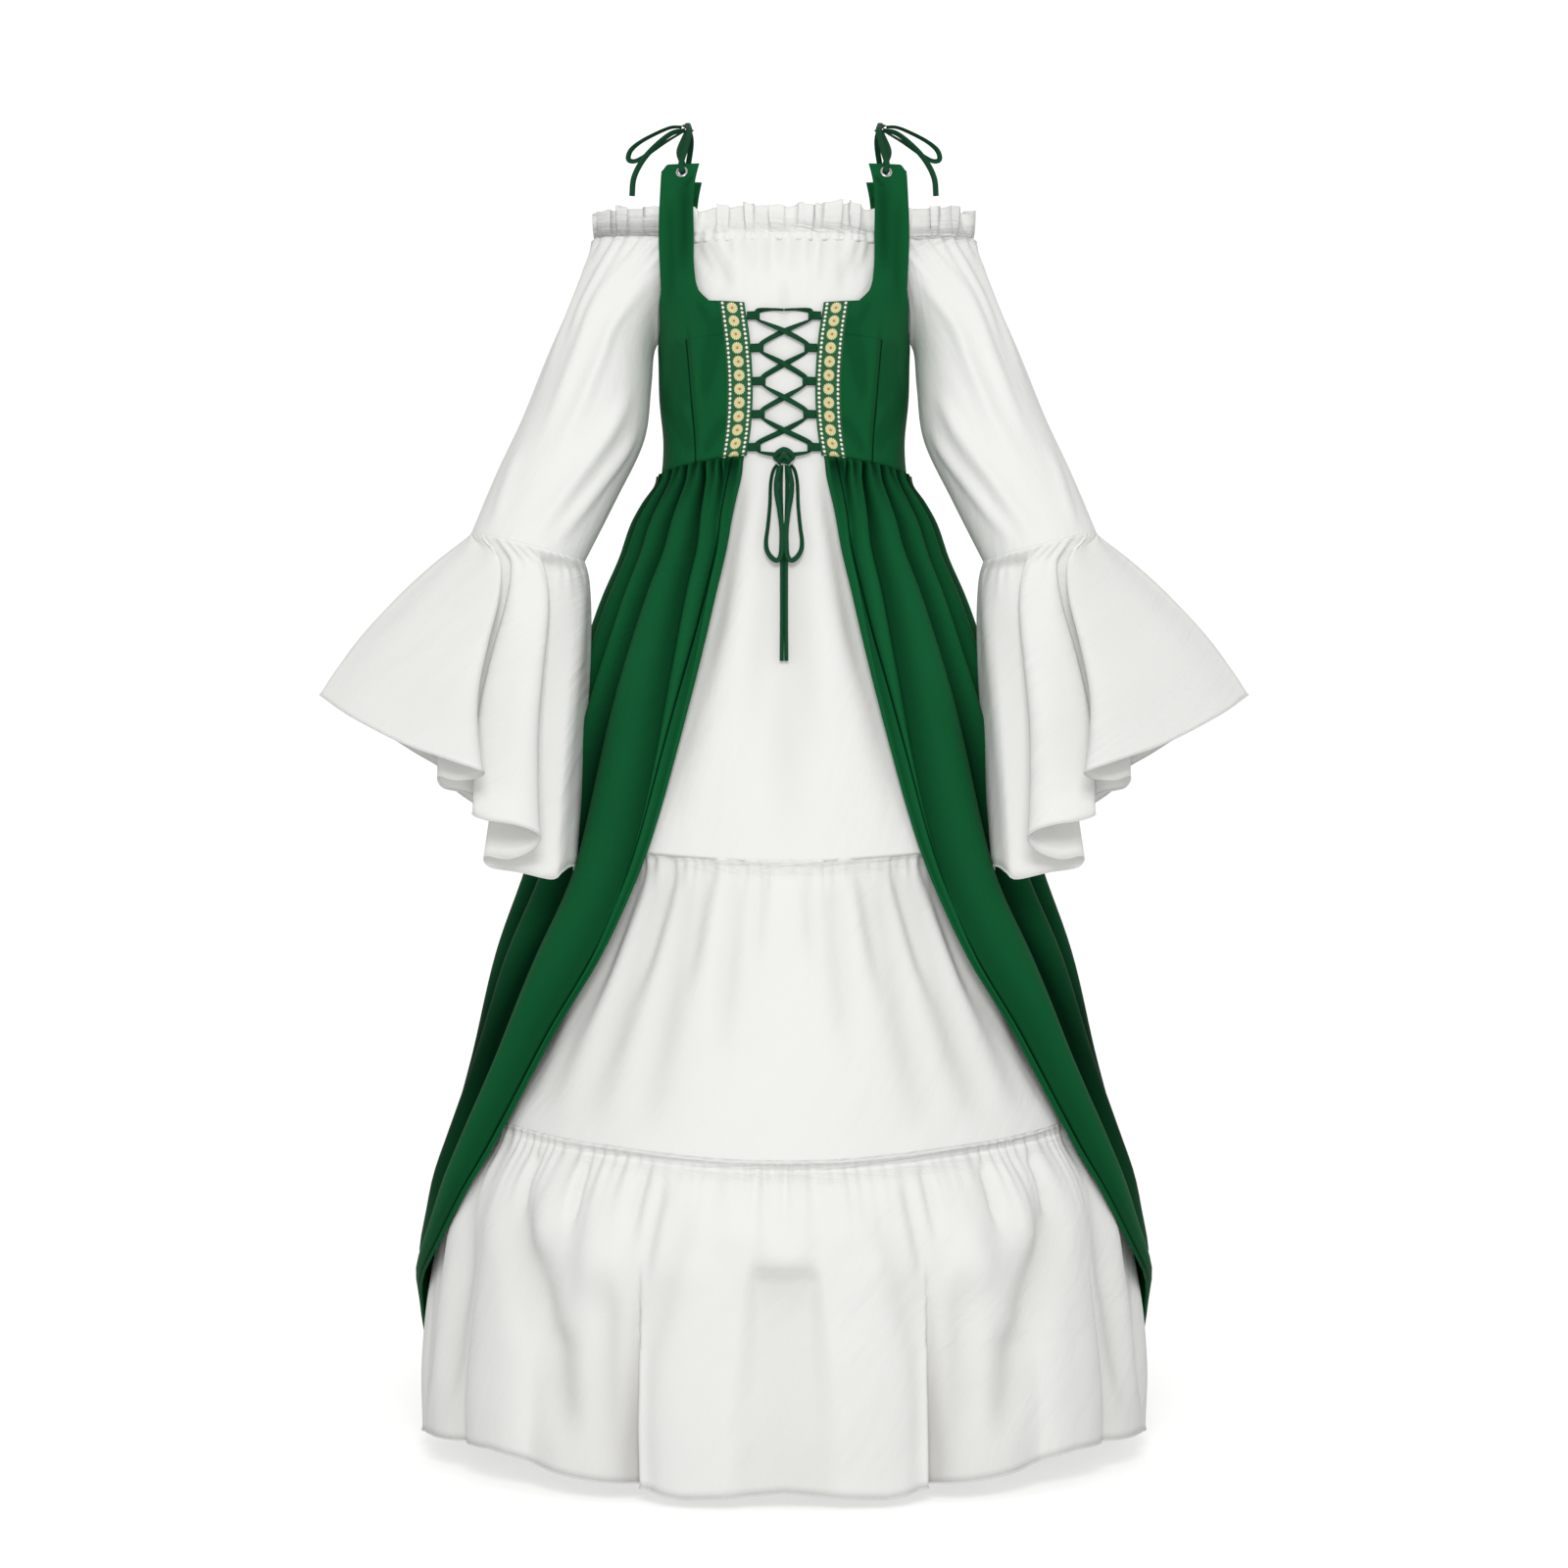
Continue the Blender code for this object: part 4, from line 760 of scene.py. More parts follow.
for word, facing, seed in (("Front", 0.0, 11), ("Back", np.pi, 12)):
    grid, gather, dip = chemiseGrid(facing, seed)
    made = makeSheet(f"chemise{word}", grid, whiteCloth, [f"chemise_{word.lower()}"],
                     wall=chemise["wall"], gather=gather, paintedShade=dip)
print("chemise body ready")


# The elastic neck and its frill
frill = {"waves": 33, "perWave": 19, "depth": 13.5, "inward": 0.70, "lean": 0.28, "wall": 0.7,
         "flat": (1.65, 0.042)}
frillRows = [  # height over the casing, out, share of the wave, fine gathers, puckers
    (30, 0, 1, 0.1, 0), (27.5, 0, 0.99, 0.12, 0), (23, 0.1, 0.95, 0.15, 0.2), (17, 0.3, 0.85, 0.2, 0.5),
    (11, 0.6, 0.66, 0.35, 1), (6.5, 1, 0.42, 0.6, 1.6), (3.6, 1, 0.22, 0.8, 2), (1.6, 0.2, 0.12, 0.8, 2),
    (0.2, -0.6, 0.05, 0.6, 1.6), (-1.4, 0.6, 0.05, 0.7, 1.6), (-3.6, 1.5, 0.08, 0.8, 2),
    (-6, 1.3, 0.1, 0.8, 2), (-8.2, 0.2, 0.1, 0.6, 1.6)]


def neckArc(turn, gap):  # the neck edge over the left arm, from the front seam (90) to the back one (-90)
    seam = np.radians(neck["seamAngle"])
    front = around(formRadii(chemiseForm, seam, neck["drop"]), seam, neck["drop"])
    back = around(formRadii(chemiseForm, np.pi - seam, neck["drop"]), np.pi - seam, neck["drop"])
    depth = np.where(turn > 0, -front[1], back[1])
    drop = neck["shoulderDrop"] + (neck["drop"] - neck["shoulderDrop"]) * np.sin(turn) ** 2
    return np.stack([front[0] + gap + neck["reach"] * np.cos(turn), -depth * np.sin(turn), -drop], axis=-1)


def neckLine():  # the whole neck edge, front, left arm, back and right arm
    half = np.radians(neck["seamAngle"])
    angle = np.linspace(-half, half, 120)
    front = around(formRadii(chemiseForm, angle, neck["drop"]), angle, neck["drop"])
    back = around(formRadii(chemiseForm, angle + np.pi, neck["drop"]), angle + np.pi, neck["drop"])
    arm = neckArc(np.linspace(np.pi / 2, -np.pi / 2, 120), neck["gap"])
    other = (arm * np.array([-1.0, 1.0, 1.0]))[::-1]
    return np.concatenate([front, arm, back, other])


def frillGrid():
    # even columns round the neck, each row moved out and in by a boxed wave, the tanh of a cosine: flat
    # panels with narrow valleys between them, each panel tilted by chance
    line = neckLine()
    columns = frill["waves"] * frill["perWave"]
    line = evenly(np.concatenate([line, line[:1]]), columns + 1)[:-1]
    tangent = np.roll(line, -2, axis=0) - np.roll(line, 2, axis=0)
    outward = np.stack([tangent[:, 1], -tangent[:, 0], 0 * tangent[:, 0]], axis=1)
    outward /= np.linalg.norm(outward, axis=1, keepdims=True)
    sideways = np.stack([-outward[:, 1], outward[:, 0], 0 * outward[:, 0]], axis=1)
    step = np.arange(columns) / columns * 2 * np.pi
    phase = step * frill["waves"] + 1.1 * uneven(step * 9, 0, 21) + 0.8 * uneven(step * 23, 0, 22)
    boxed = np.tanh(3.2 * (np.cos(phase) + 0.45))
    panel = np.floor(phase / (2 * np.pi) + 0.5).astype(int) % frill["waves"]
    tilt = np.random.default_rng(25).uniform(-1, 1, (2, frill["waves"]))[:, panel]
    small = np.sin(phase * 3 + 0.9 * uneven(step * 31, 0, 23))
    rows = []
    for height, out, wave, fine, _ in frillRows:
        tall = height * (1 + 0.09 * tilt[0] + 0.08 * tilt[1] * np.sin(phase)) if height > 2 else height
        move = frill["depth"] * wave * ((boxed + 1) / 2 - frill["inward"]) + fine * small
        lean = frill["depth"] * wave * frill["lean"] * np.sin(2 * phase)
        rise = np.array([0.0, 0.0, 1.0]) * np.asarray(tall + 0.4 * wave * small)[..., None]
        rows.append(line + outward * (move + out)[:, None] + sideways * lean[:, None] + rise)
    return np.stack(rows)


grid = frillGrid()
gatherRow = np.array(frillRows)[:, 4:]
neckFrill = makeSheet("neckFrill", grid, whiteCloth,
                      ["neck_frill_front", "neck_frill_back", "sleeve_frill_left", "sleeve_frill_right"],
                      closed=True, wall=frill["wall"], gather=np.broadcast_to(gatherRow, grid.shape[:2]))
print("neck frill ready")


# Sleeves
sleeve = {"columns": 150, "rows": 54, "wall": 0.8, "flat": (0.44, 0.37), "girth": 62, "ringStep": 70,
          "gathers": 30, "gatherDepth": 2.4, "pull": 1.6, "seamDrops": (125, 150, 175, 195, 210, 224)}
sleeveRings = [  # outer x, drop, forward; inner x, drop, forward; half depth
    (215, 172, 2, 137.5, 240, 2, 61), (242, 238, 8, 140, 276, 10, 63), (270, 304, 18, 147, 332, 22, 61),
    (298, 367, 32, 176, 396, 38, 56), (322, 429, 50, 206, 459, 58, 50)]
sleeveCreases = [  # turn in degrees at the top and bottom, with the place down the sleeve from 0 to 5
    (20, 0.1, 30, 2.6, 9, -3.4), (48, 0.1, 44, 1.8, 6, -2.6), (66, 0.2, 60, 3.4, 8, -3),
    (100, 0.5, 80, 3.6, 8, -3.4), (-10, 0.1, 4, 3, 10, -2.6), (128, 2.4, 96, 4.9, 9, -4.2),
    (150, 3, 118, 4.9, 8, -3.4), (-40, 0.2, -30, 2.8, 9, -3), (-75, 0.3, -60, 3.6, 9, -3.2),
    (-120, 1.2, -90, 4.6, 10, -3.6), (-150, 2.6, -130, 4.9, 9, -3.2), (40, 3.6, 52, 4.95, 8, -2.2)]


def ringGrid(rings, turn):  # points round rings across the arm: turn 0 at its outer side, 90 in front
    rings = np.asarray(rings, float)
    outward = (1 + np.cos(turn)) / 2
    x, drop, forward = (rings[:, k + 3][:, None] + (rings[:, k] - rings[:, k + 3])[:, None] * outward
                        for k in range(3))
    return np.stack([x, -forward - rings[:, 6][:, None] * np.sin(turn), -drop], axis=-1)


def sleeveTop(turn):  # the neck edge over the arm, then down the seam to the armpit
    past = np.clip((np.abs(np.degrees(turn)) - 90) / 90, 0, 1)
    drop = np.interp(past, np.linspace(0, 1, 6), sleeve["seamDrops"]) + 0.6 * (past > 0.99)
    angle = np.radians(tableValue(chemise["seam"], np.minimum(drop, chemise["underarm"]), 1))
    angle = np.where(turn > 0, angle, np.pi - angle)
    seam = around(formRadii(chemiseForm, angle, drop), angle, drop)
    seam[:, 0] += 0.6
    return np.where((past > 0)[:, None], seam, neckArc(turn, 0.6))


def moved(grid, out, closed=True):  # a sheet, closed round or not, moved along its own normals
    across = np.roll(grid, -1, axis=1) - np.roll(grid, 1, axis=1) if closed else np.gradient(grid, axis=1)
    normal = np.cross(np.gradient(grid, axis=0), across)
    normal /= np.maximum(np.linalg.norm(normal, axis=-1, keepdims=True), 1e-9)
    return grid + np.asarray(out)[..., None] * normal


def sleeveGrid():
    # a smooth tube through the neck edge and the rings, then its gathers and creases along its normals
    turn = np.radians(180 - np.arange(sleeve["columns"]) * 360 / sleeve["columns"])
    rings = ringGrid(sleeveRings, np.broadcast_to(turn, (5, len(turn))))
    rough = np.concatenate([sleeveTop(turn)[None], rings])
    down = np.linspace(0, 5, sleeve["rows"]) ** 1.12 * 5 / 5 ** 1.12
    grid = smoothValue(down, np.arange(6), rough)[:, ::-1]
    turn, down = np.degrees(turn[::-1])[None, :], down[:, None]
    girth, step = sleeve["girth"], sleeve["ringStep"]
    rows = [(girth * math.radians(a), b * step, girth * math.radians(c), d * step, *size)
            for a, b, c, d, *size in sleeveCreases]
    out = creases(girth * np.radians(turn), down * step, rows)
    over = ease((100 - np.abs(turn)) / 20)
    gather = np.sin(np.radians(turn) * sleeve["gathers"] + 2.0 * uneven(np.radians(turn) * 5, 0, 31))
    out = out + sleeve["gatherDepth"] * gather * np.exp(-down / 0.28) * ease(down / 0.06) * over
    out = out - sleeve["pull"] * np.exp(-down / 0.3) * over
    out = out * 1.3 * (1 - np.exp(-(5 - down) / 0.10))
    return allowance(moved(grid, out)), carried(down), over


grid, down, over = sleeveGrid()
for word in ("Left", "Right"):
    if word == "Right":
        grid, over = otherSide(grid), over[:, ::-1]
    puckers = 2.2 * np.exp(-down / 0.25) * over + 0.9 * np.exp(-(5 - down) / 0.12)
    made = makeSheet(f"sleeve{word}", grid, whiteCloth, [f"sleeve_{word.lower()}"],
                     closed=True, wall=sleeve["wall"], gather=puckers)
print("sleeves ready")


# Flounces
flounce = {"columns": 300, "rows": 48, "carry": 0.85, "wall": 0.8, "flat": (0.62, 0.62), "area": 0.24,
           "droop": 38, "droopSpan": 0.5, "gathers": 31, "gatherDepth": 2.6, "softDepth": 3.4}
flounceRings = [
    (322.4, 429.3, 50, 206, 459.5, 58, 50), (335, 441, 54, 200, 478, 66, 54),
    (363, 467, 64, 197, 515, 84, 62), (400, 505, 84, 197, 570, 112, 74), (433, 543, 106, 199, 630, 144, 86),
    (455, 574, 128, 202, 698, 180, 97), (471, 601, 146, 205, 770, 214, 106)]
flounceHem = [  # turn round the cuff in degrees, then the hem's x, y and drop: it doubles back on itself
    (0, 466, -150, 600), (5, 430, -192, 622), (11, 372, -236, 650), (18, 325, -262, 666),
    (24, 298, -270, 675), (28, 291, -262, 679), (32, 300, -248, 684), (37, 322, -238, 686),
    (42, 339, -226, 682), (46, 336, -212, 693), (50, 316, -204, 698), (54, 295, -200, 707),
    (58, 293, -210, 715), (62, 306, -222, 719), (68, 290, -234, 725), (76, 264, -238, 729),
    (84, 246, -234, 735), (92, 239, -224, 743), (97, 250, -212, 756), (103, 273, -203, 764),
    (109, 296, -194, 761), (114, 292, -184, 772), (122, 263, -186, 777), (132, 231, -184, 784),
    (140, 222, -174, 778), (152, 216, -152, 773), (166, 210, -132, 773), (182, 213, -108, 778),
    (194, 228, -88, 772), (206, 250, -72, 760), (216, 268, -78, 746), (222, 262, -96, 738),
    (229, 270, -104, 730), (237, 290, -92, 722), (247, 314, -70, 712), (258, 336, -62, 698),
    (267, 348, -74, 684), (273, 344, -94, 678), (280, 354, -102, 670), (290, 376, -90, 658),
    (302, 402, -80, 642), (315, 424, -84, 628), (328, 442, -100, 615), (342, 458, -122, 605),
    (352, 465, -138, 600)]


def foldWave(angle, folds, pinch, sharp=1.0):
    # cloth dips at each valley of the table, is drawn in towards it, and leans over it to one side
    places, depths, leans = np.array(folds, float).T
    count = np.interp(angle, places, np.arange(len(places)))
    pitch = np.interp(angle, places, np.gradient(places))
    phase = 2 * np.pi * count
    dip = ((1 + np.cos(phase)) / 2) ** sharp
    shift = np.interp(angle, places, leans) * dip - pinch * np.sin(phase) * pitch / (2 * np.pi)
    return shift, np.interp(angle, places, depths) * dip


def flounceGrid():
    # rings from the cuff widen down the arm, and each point is carried on towards its place on the hem
    table = np.array(flounceHem + [(360,) + flounceHem[0][1:]], float)
    fine = smoothValue(np.linspace(0, len(table) - 1, 1400), np.arange(len(table)), table)
    run = lengths(fine[:, 1:])
    at = np.linspace(0, run[-1], flounce["columns"] + 1)[:-1]
    turn, x, y, drop = (np.interp(at, run, fine[:, k]) for k in range(4))
    turn = np.radians(turn)
    hem = np.stack([x, y, -drop], axis=-1)
    fall = np.linspace(0, 1, flounce["rows"])[:, None] ** 1.15
    rings = smoothValue(fall[:, 0] * 6, np.arange(7), flounceRings)
    points = ringGrid(rings, np.broadcast_to(turn, (flounce["rows"], len(turn))))
    outward = (1 + np.cos(turn)) / 2 / flounce["droopSpan"]
    points[..., 2] -= flounce["droop"] * fall ** 2 * np.sin(np.pi * np.clip(outward, 0, 1))
    share = (fall ** flounce["carry"] * ease(fall * 7))[..., None]
    points = points + (hem - points[-1]) * share
    wave = (1 + np.cos(turn * flounce["gathers"] + 1.4 * uneven(turn * 4, 0, 41))) / 2
    strength = ease(fall * 14) * (1 - ease(fall * 3.0)) * (0.7 + 0.3 * uneven(turn * 7, 0, 42))
    strength = strength * flounce["gatherDepth"]
    soft = flounce["softDepth"] * uneven(turn * 7 + fall * 2, fall * 2, 43)
    soft = soft * ease(fall * 2) * (1 - fall ** 2)
    return moved(points[:, ::-1], -(strength * wave + soft)[:, ::-1]), fall


grid, fall = flounceGrid()
for word, sheetGrid in (("Left", grid), ("Right", otherSide(grid))):
    hem = makeTube(f"flounceHem{word}", sheetGrid[-1], 2.0, 1.8, whiteCloth,
                   sides=6, closed=True)
    made = makeSheet(f"flounce{word}", sheetGrid, whiteCloth, [f"flounce_{word.lower()}"],
                     closed=True, wall=flounce["wall"], gather=0.9 * np.exp(-fall / 0.05))
print("flounces ready")


# The two tiers of the chemise's skirt
tiers = {"liftStart": 1180, "hem": 1375, "wall": 0.8, "middleFlat": (2.2, 0.30), "bottomFlat": (2.8, 0.335),
         "pinch": 0.40, "middleRows": ((765.15, 800, 15), (806, 1040, 24), (1044, 1054.85, 4)),
         "bottomRows": ((1055.15, 1090, 12), (1096, 1375, 34)), "middleGirth": 4.6, "bottomGirth": 6.0,
         "middleCrease": 1.5, "bottomCrease": 1.35}
middleTier = {"columns": 720, "seed": 51, "pitch": 12.5, "depth": 4.4, "fade": 776, "runs": 12,
              "foldStart": 4000, "closing": True}  # the gathers below its seam; it has no large folds
bottomTier = {"columns": 800, "seed": 61, "pitch": 13.5, "depth": 6.0, "fade": 1068, "runs": 18,
              "foldStart": 1100, "closing": False}
tierFolds = [  # angle, depth at the hem, lean
    (0, 0, 0), (23, 10, -2), (41, 9, 1), (60, 9, 0), (82, 11, 1), (104, 13, -2), (128, 13, 2),
    (154, 13, -2), (180, 12, 0)]
hemLift = [(0, 7), (14, 0), (28, 9), (50, 28), (72, 22), (90, 8), (120, 14), (150, 6), (180, 10)]
middleCreases = [  # angle and drop at the top, then at the bottom, half width, height
    (5, 768, 6.5, 870, 8, -2.5), (11, 768, 13, 960, 12, -3.5), (18, 768, 21, 900, 9, -4),
    (22, 768, 27, 1048, 17, -5), (27, 770, 33, 910, 9, -5), (30, 768, 40, 1046, 18, -6.5),
    (36, 770, 46, 940, 10, -5), (40, 770, 53, 1046, 20, -6.5), (52, 770, 60, 1045, 20, -7),
    (66, 770, 70, 980, 16, -6), (80, 770, 84, 1045, 20, -7), (97, 770, 99, 960, 15, -6),
    (112, 770, 116, 1040, 20, -7), (127, 770, 128, 950, 15, -6), (143, 770, 145, 1045, 20, -7),
    (158, 770, 157, 970, 16, -6), (173, 770, 172, 1040, 18, -6)]
bottomPouches = [  # angle, drop where it hangs lowest, half width, bulge
    (0, 1148, 34, 6), (10, 1118, 34, 4), (17, 1150, 28, 6), (31, 1152, 24, 11), (43, 1132, 26, 11),
    (56, 1134, 28, 5), (70, 1142, 28, 5), (88, 1136, 30, 5), (108, 1140, 30, 5), (130, 1134, 32, 5),
    (152, 1142, 30, 5), (171, 1136, 32, 5)]
bottomCreases = [  # angle and drop at the top, then at the bottom, half width, height
    (50, 1112, 38, 1255, 24, -12), (38, 1225, 35, 1340, 22, -9), (37, 1075, 36.5, 1130, 6, -6),
    (24.5, 1070, 25, 1130, 6, -5), (20.5, 1080, 22, 1170, 7, -4), (49, 1075, 50, 1125, 7, -6),
    (15.5, 1105, 21, 1255, 14, -4), (28.5, 1170, 27.5, 1350, 14, -6), (64, 1140, 66, 1350, 20, -9),
    (78, 1120, 76, 1330, 20, -9), (96, 1130, 98, 1340, 22, -9), (118, 1120, 115, 1340, 20, -9),
    (141, 1130, 143, 1345, 22, -9), (162, 1125, 160, 1340, 22, -9), (176, 1150, 176, 1340, 18, -6)]
sharpFolds = [  # angle, drop where it starts, depth
    (22.3, 1150, 26), (58, 1170, 12), (104, 1150, 14), (128, 1160, 12), (154, 1150, 14)]
centreRecess = {"drop": 1150.0, "halfAngle": 5.0, "flare": 1.6, "depth": 10.0, "soft": 2.4, "softer": 2.4}


def tierGrid(drops, columns, seed, pitch, depth, fade, runs, foldStart, closing):
    # an ellipse round the legs, out by raised cosines: fine gathers of uneven pitch that run out below the
    # seam, slower ones that run further, and the large folds from foldStart on
    drop = drops[:, None]
    top, bottom = drop[0, 0], drop[-1, 0]
    flat = -np.pi + np.arange(columns)[None, :] * 2 * np.pi / columns
    turned = np.degrees(flat)
    shift, dip = foldWave(np.abs(turned), tierFolds, tiers["pinch"], 1.4)
    growth = ease((drop - foldStart) / 180)
    turns = flat * tableValue(chemiseForm, top, 1) * 0.9 * 2 * np.pi / pitch
    size = depth * (0.62 + 0.38 * uneven(flat * 7, 0, seed + 2))
    size = size * (ease((bottom - drop) / 12) if closing else 1.0)
    fine = turns + 2.2 * uneven(flat * 11, 0, seed) + 1.2 * uneven(flat * 29, 0, seed + 1)
    near = ease((drop - top) / 9) * np.exp(-np.maximum(drop - fade, 0) / runs)
    slow = turns / 2.7 + 2.0 * uneven(flat * 6, 0, seed + 3) + 0.4 * uneven(drop / 60, flat * 3, seed + 4)
    further = ease((drop - top) / 20) * np.exp(-np.maximum(drop - fade - runs, 0) / runs / 2.4)
    gather = size * (near * (1 + np.cos(fine)) / 2 + 0.6 * further * (1 + np.cos(slow)) / 2)
    angle = flat + np.radians(shift * np.sign(turned)) * growth
    lift = np.interp(np.abs(turned), *np.array(hemLift).T)
    lift = lift * ease((drop - tiers["liftStart"]) / (tiers["hem"] - tiers["liftStart"]))
    return angle, drawnUp(angle, drop) - lift, -gather - dip * growth, flat, drop


def alongAngle(rows, girth):  # crease rows with millimetres round the tier in place of degrees
    return [(a * girth, b, c * girth, *rest) for a, b, c, *rest in rows]


def makeMiddleTier():
    # the tier's gathers with its creases, which fade out above the bottom seam
    angle, low, out, _, drop = tierGrid(steps(*tiers["middleRows"]), **middleTier)
    girth = tiers["middleGirth"]
    folds = creases(np.abs(np.degrees(angle)) * girth, drop, alongAngle(middleCreases, girth))
    folds = folds * tiers["middleCrease"] * ease((1052 - drop) / 40)
    grid = allowance(around(formRadii(chemiseForm, angle, low), angle, low, out + folds))
    puckers = 0.9 * np.exp(-(carried(drop) - seams["middle"]) / 12)
    # the cloth takes painted shade in its creases, darker the deeper they sink
    made = makeSheet("tierMiddle", grid, whiteCloth, ["tier_middle_front", "tier_middle_back"],
                     closed=True, wall=tiers["wall"], gather=puckers,
                     paintedShade=carried(np.clip(-folds / 32, 0, 0.3)))


def makeBottomTier():
    # pouches that hang over, creases, the recess in front, and folds with one steep side, the other easing
    # out as an exponential
    angle, low, out, flat, drop = tierGrid(steps(*tiers["bottomRows"]), **bottomTier)
    girth = tiers["bottomGirth"]
    for at, lowest, width, bulge in bottomPouches:
        t = (drop - 1058) / (lowest - 1058)
        hang = np.where(t < 1, ease(t) ** 1.3, np.exp(-np.maximum(t - 1, 0) ** 2 / 0.11))
        for way in (1, -1):
            out = out + bulge * hang * hump((np.degrees(angle) - way * at) * girth, width)
    at = np.abs(np.degrees(angle))
    folds = creases(at * girth, drop, alongAngle(bottomCreases, girth)) * tiers["bottomCrease"]
    flared = ease((drop - centreRecess["drop"]) / 200)
    halfAngle = centreRecess["halfAngle"] + centreRecess["flare"] * flared
    beside = ease((halfAngle - at) / (centreRecess["soft"] + centreRecess["softer"] * flared) + 0.5)
    sunk = beside * ease((drop - centreRecess["drop"]) / 12) * (1 - 0.25 * flared)
    folds = folds - centreRecess["depth"] * sunk
    cut = 0.0
    for edge, start, depth in sharpFolds:
        past = (at - edge) / 1.1
        grown = np.clip((drop - start) / 190, 0, 1)
        easing = np.exp(-np.maximum(past - 0.3, 0) / (0.8 + 2.0 * grown))
        cut = cut + depth * grown * ease(past / 0.35) * easing
    soft = 2.4 * uneven(flat * 6, drop / 90, 66) * ease((drop - 1090) / 80)
    out = out + folds - cut
    out = out + soft * ease((tiers["hem"] - drop) / 60)
    grid = around(formRadii(chemiseForm, angle, low), angle, low, out)
    hem = makeTube("tierBottomHem", grid[-1], 2.2, 1.8, whiteCloth, outward=(0, 0, 1),
                   sides=6, closed=True)
    # painted shade in the creases, the recess and the sharp folds, darker the deeper they sink
    made = makeSheet("tierBottom", grid, whiteCloth, ["tier_bottom_front", "tier_bottom_back"],
                     closed=True, wall=tiers["wall"], gather=np.exp(-(drop - seams["bottom"]) / 14),
                     paintedShade=np.clip(-folds / 55, 0, 0.35) + np.clip(cut / 22, 0, 0.6))


makeMiddleTier()
makeBottomTier()
print("tiers ready")


# The bodice
bodice = {"neckline": 195, "backNeckline": 155, "waist": 353, "dip": 14, "dipReach": 70, "trimWidth": 25,
          "trimOut": 1.1, "trimWall": 0.7, "wall": 0.9, "innerColumns": 45, "outerColumns": 46,
          "backColumns": 36, "rows": ((48, 66, 19), (71, 190, 24), (195, 352.85, 42)), "holeRadius": 4.4,
          "sink": 5, "flatFront": (0.20, 0.34), "areaFront": 0.036, "flatBack": (0.32, 0.34),
          "areaBack": 0.072}
strapInner = [
    (45, 87), (65, 91.5), (128, 93), (165, 92), (180, 89.5), (188, 85.5), (195, 77), (202, 75), (220, 74.5),
    (360, 72)]
strapOuter = [(45, 127), (128, 129), (180, 127)]
armhole = [(180, 54), (195, 63), (210, 71.5), (225, 79.5), (240, 90)]
bodiceCreases = [
    (99, 222, 89, 352, 2.2, -1.7), (93, 222, 84, 352, 3.5, 0.8), (112, 236, 100, 300, 8, -2.4),
    (66, 212, 86, 300, 8, -1.6), (118, 296, 96, 346, 6, -2.4), (60, 316, 84, 350, 5, -1.8),
    (103, 66, 104, 168, 7, -1.7), (118, 90, 116, 200, 6, -1), (88, 196, 74, 226, 5, -0.8),
    (95, 62, 104, 74, 2.5, -1.2), (112, 262, 124, 300, 5, -1.6)]


def dipped(drop, angle):  # the waist seam lies lower at the sides
    near = ease(1 - np.abs(drop - bodice["waist"]) / bodice["dipReach"])
    return drop + bodice["dip"] * near * np.sin(angle) ** 2


def bodiceAngles(drop, innerSide, innerColumns, outerColumns):
    # even columns from the inner side to the line below the strap's inner edge, then on to its outer edge
    # or to the armhole; a place x from the centre has the angle arcsin(x / half width)
    halfWidth = bodiceRadii(0.0, drop)[0]
    boundary = np.arcsin(tableValue(strapInner, drop, 1) / halfWidth)
    strapEdge = np.arcsin(np.minimum(tableValue(strapOuter, drop, 1) / halfWidth, 1.0))
    hole = np.radians(tableValue(armhole, drop, 1)) - 0.1 / halfWidth
    edge = np.where(drop < armhole[0][0], strapEdge, hole)
    inner = np.arcsin(innerSide / halfWidth)
    inner = inner + (boundary - inner) * np.linspace(0, 1, innerColumns)[None, :]
    outer = boundary + (edge - boundary) * np.linspace(0, 1, outerColumns)[None, 1:]
    return np.concatenate([inner, outer], axis=1)


def bodiceSheet(angle, drop):
    # points on the bodice's ellipse, moved out by its creases but never into the chemise
    level = dipped(np.broadcast_to(drop, angle.shape), angle)
    x = np.abs(np.sin(angle)) * bodiceRadii(angle, drop)[0]
    level = level + 7 * ease((x - 118) / 9) ** 2 * ease((64 - drop) / 16)  # the rounded outer corner
    out = creases(x, level, bodiceCreases) * ease((bodice["waist"] - drop) / 8)
    out = np.maximum(out, -0.8 - 4 * ease((200 - level) / 30))
    # the last value is painted shade, darker where the creases sink in
    return around(bodiceRadii(angle, level), angle, level, out), x, level, np.clip(-out / 4, 0, 0.6)


def holed(grid, keep, centre):  # leaves out the cells round an eyelet's hole
    middle = (grid[:-1, :-1] + grid[1:, 1:]) / 2
    return keep & (np.linalg.norm(middle - centre, axis=-1) > bodice["holeRadius"])


def trimBand(ribbon, drops, laced):  # a strip along the front edge, as wide as the trim, a little outside
    strapSide = tableValue(strapInner, drops[:, None], 1)
    share = bodice["trimWidth"] / (strapSide - laced) * (bodice["innerColumns"] - 1)
    places = np.linspace(0, 1, 15)[None, :] * share
    whole = np.floor(places).astype(int)
    part = (places - whole)[..., None]
    rowAt = np.arange(len(ribbon))[:, None]
    band = ribbon[rowAt, whole] * (1 - part) + ribbon[rowAt, whole + 1] * part
    return moved(band, np.full(band.shape[:2], bodice["trimOut"]), closed=False)


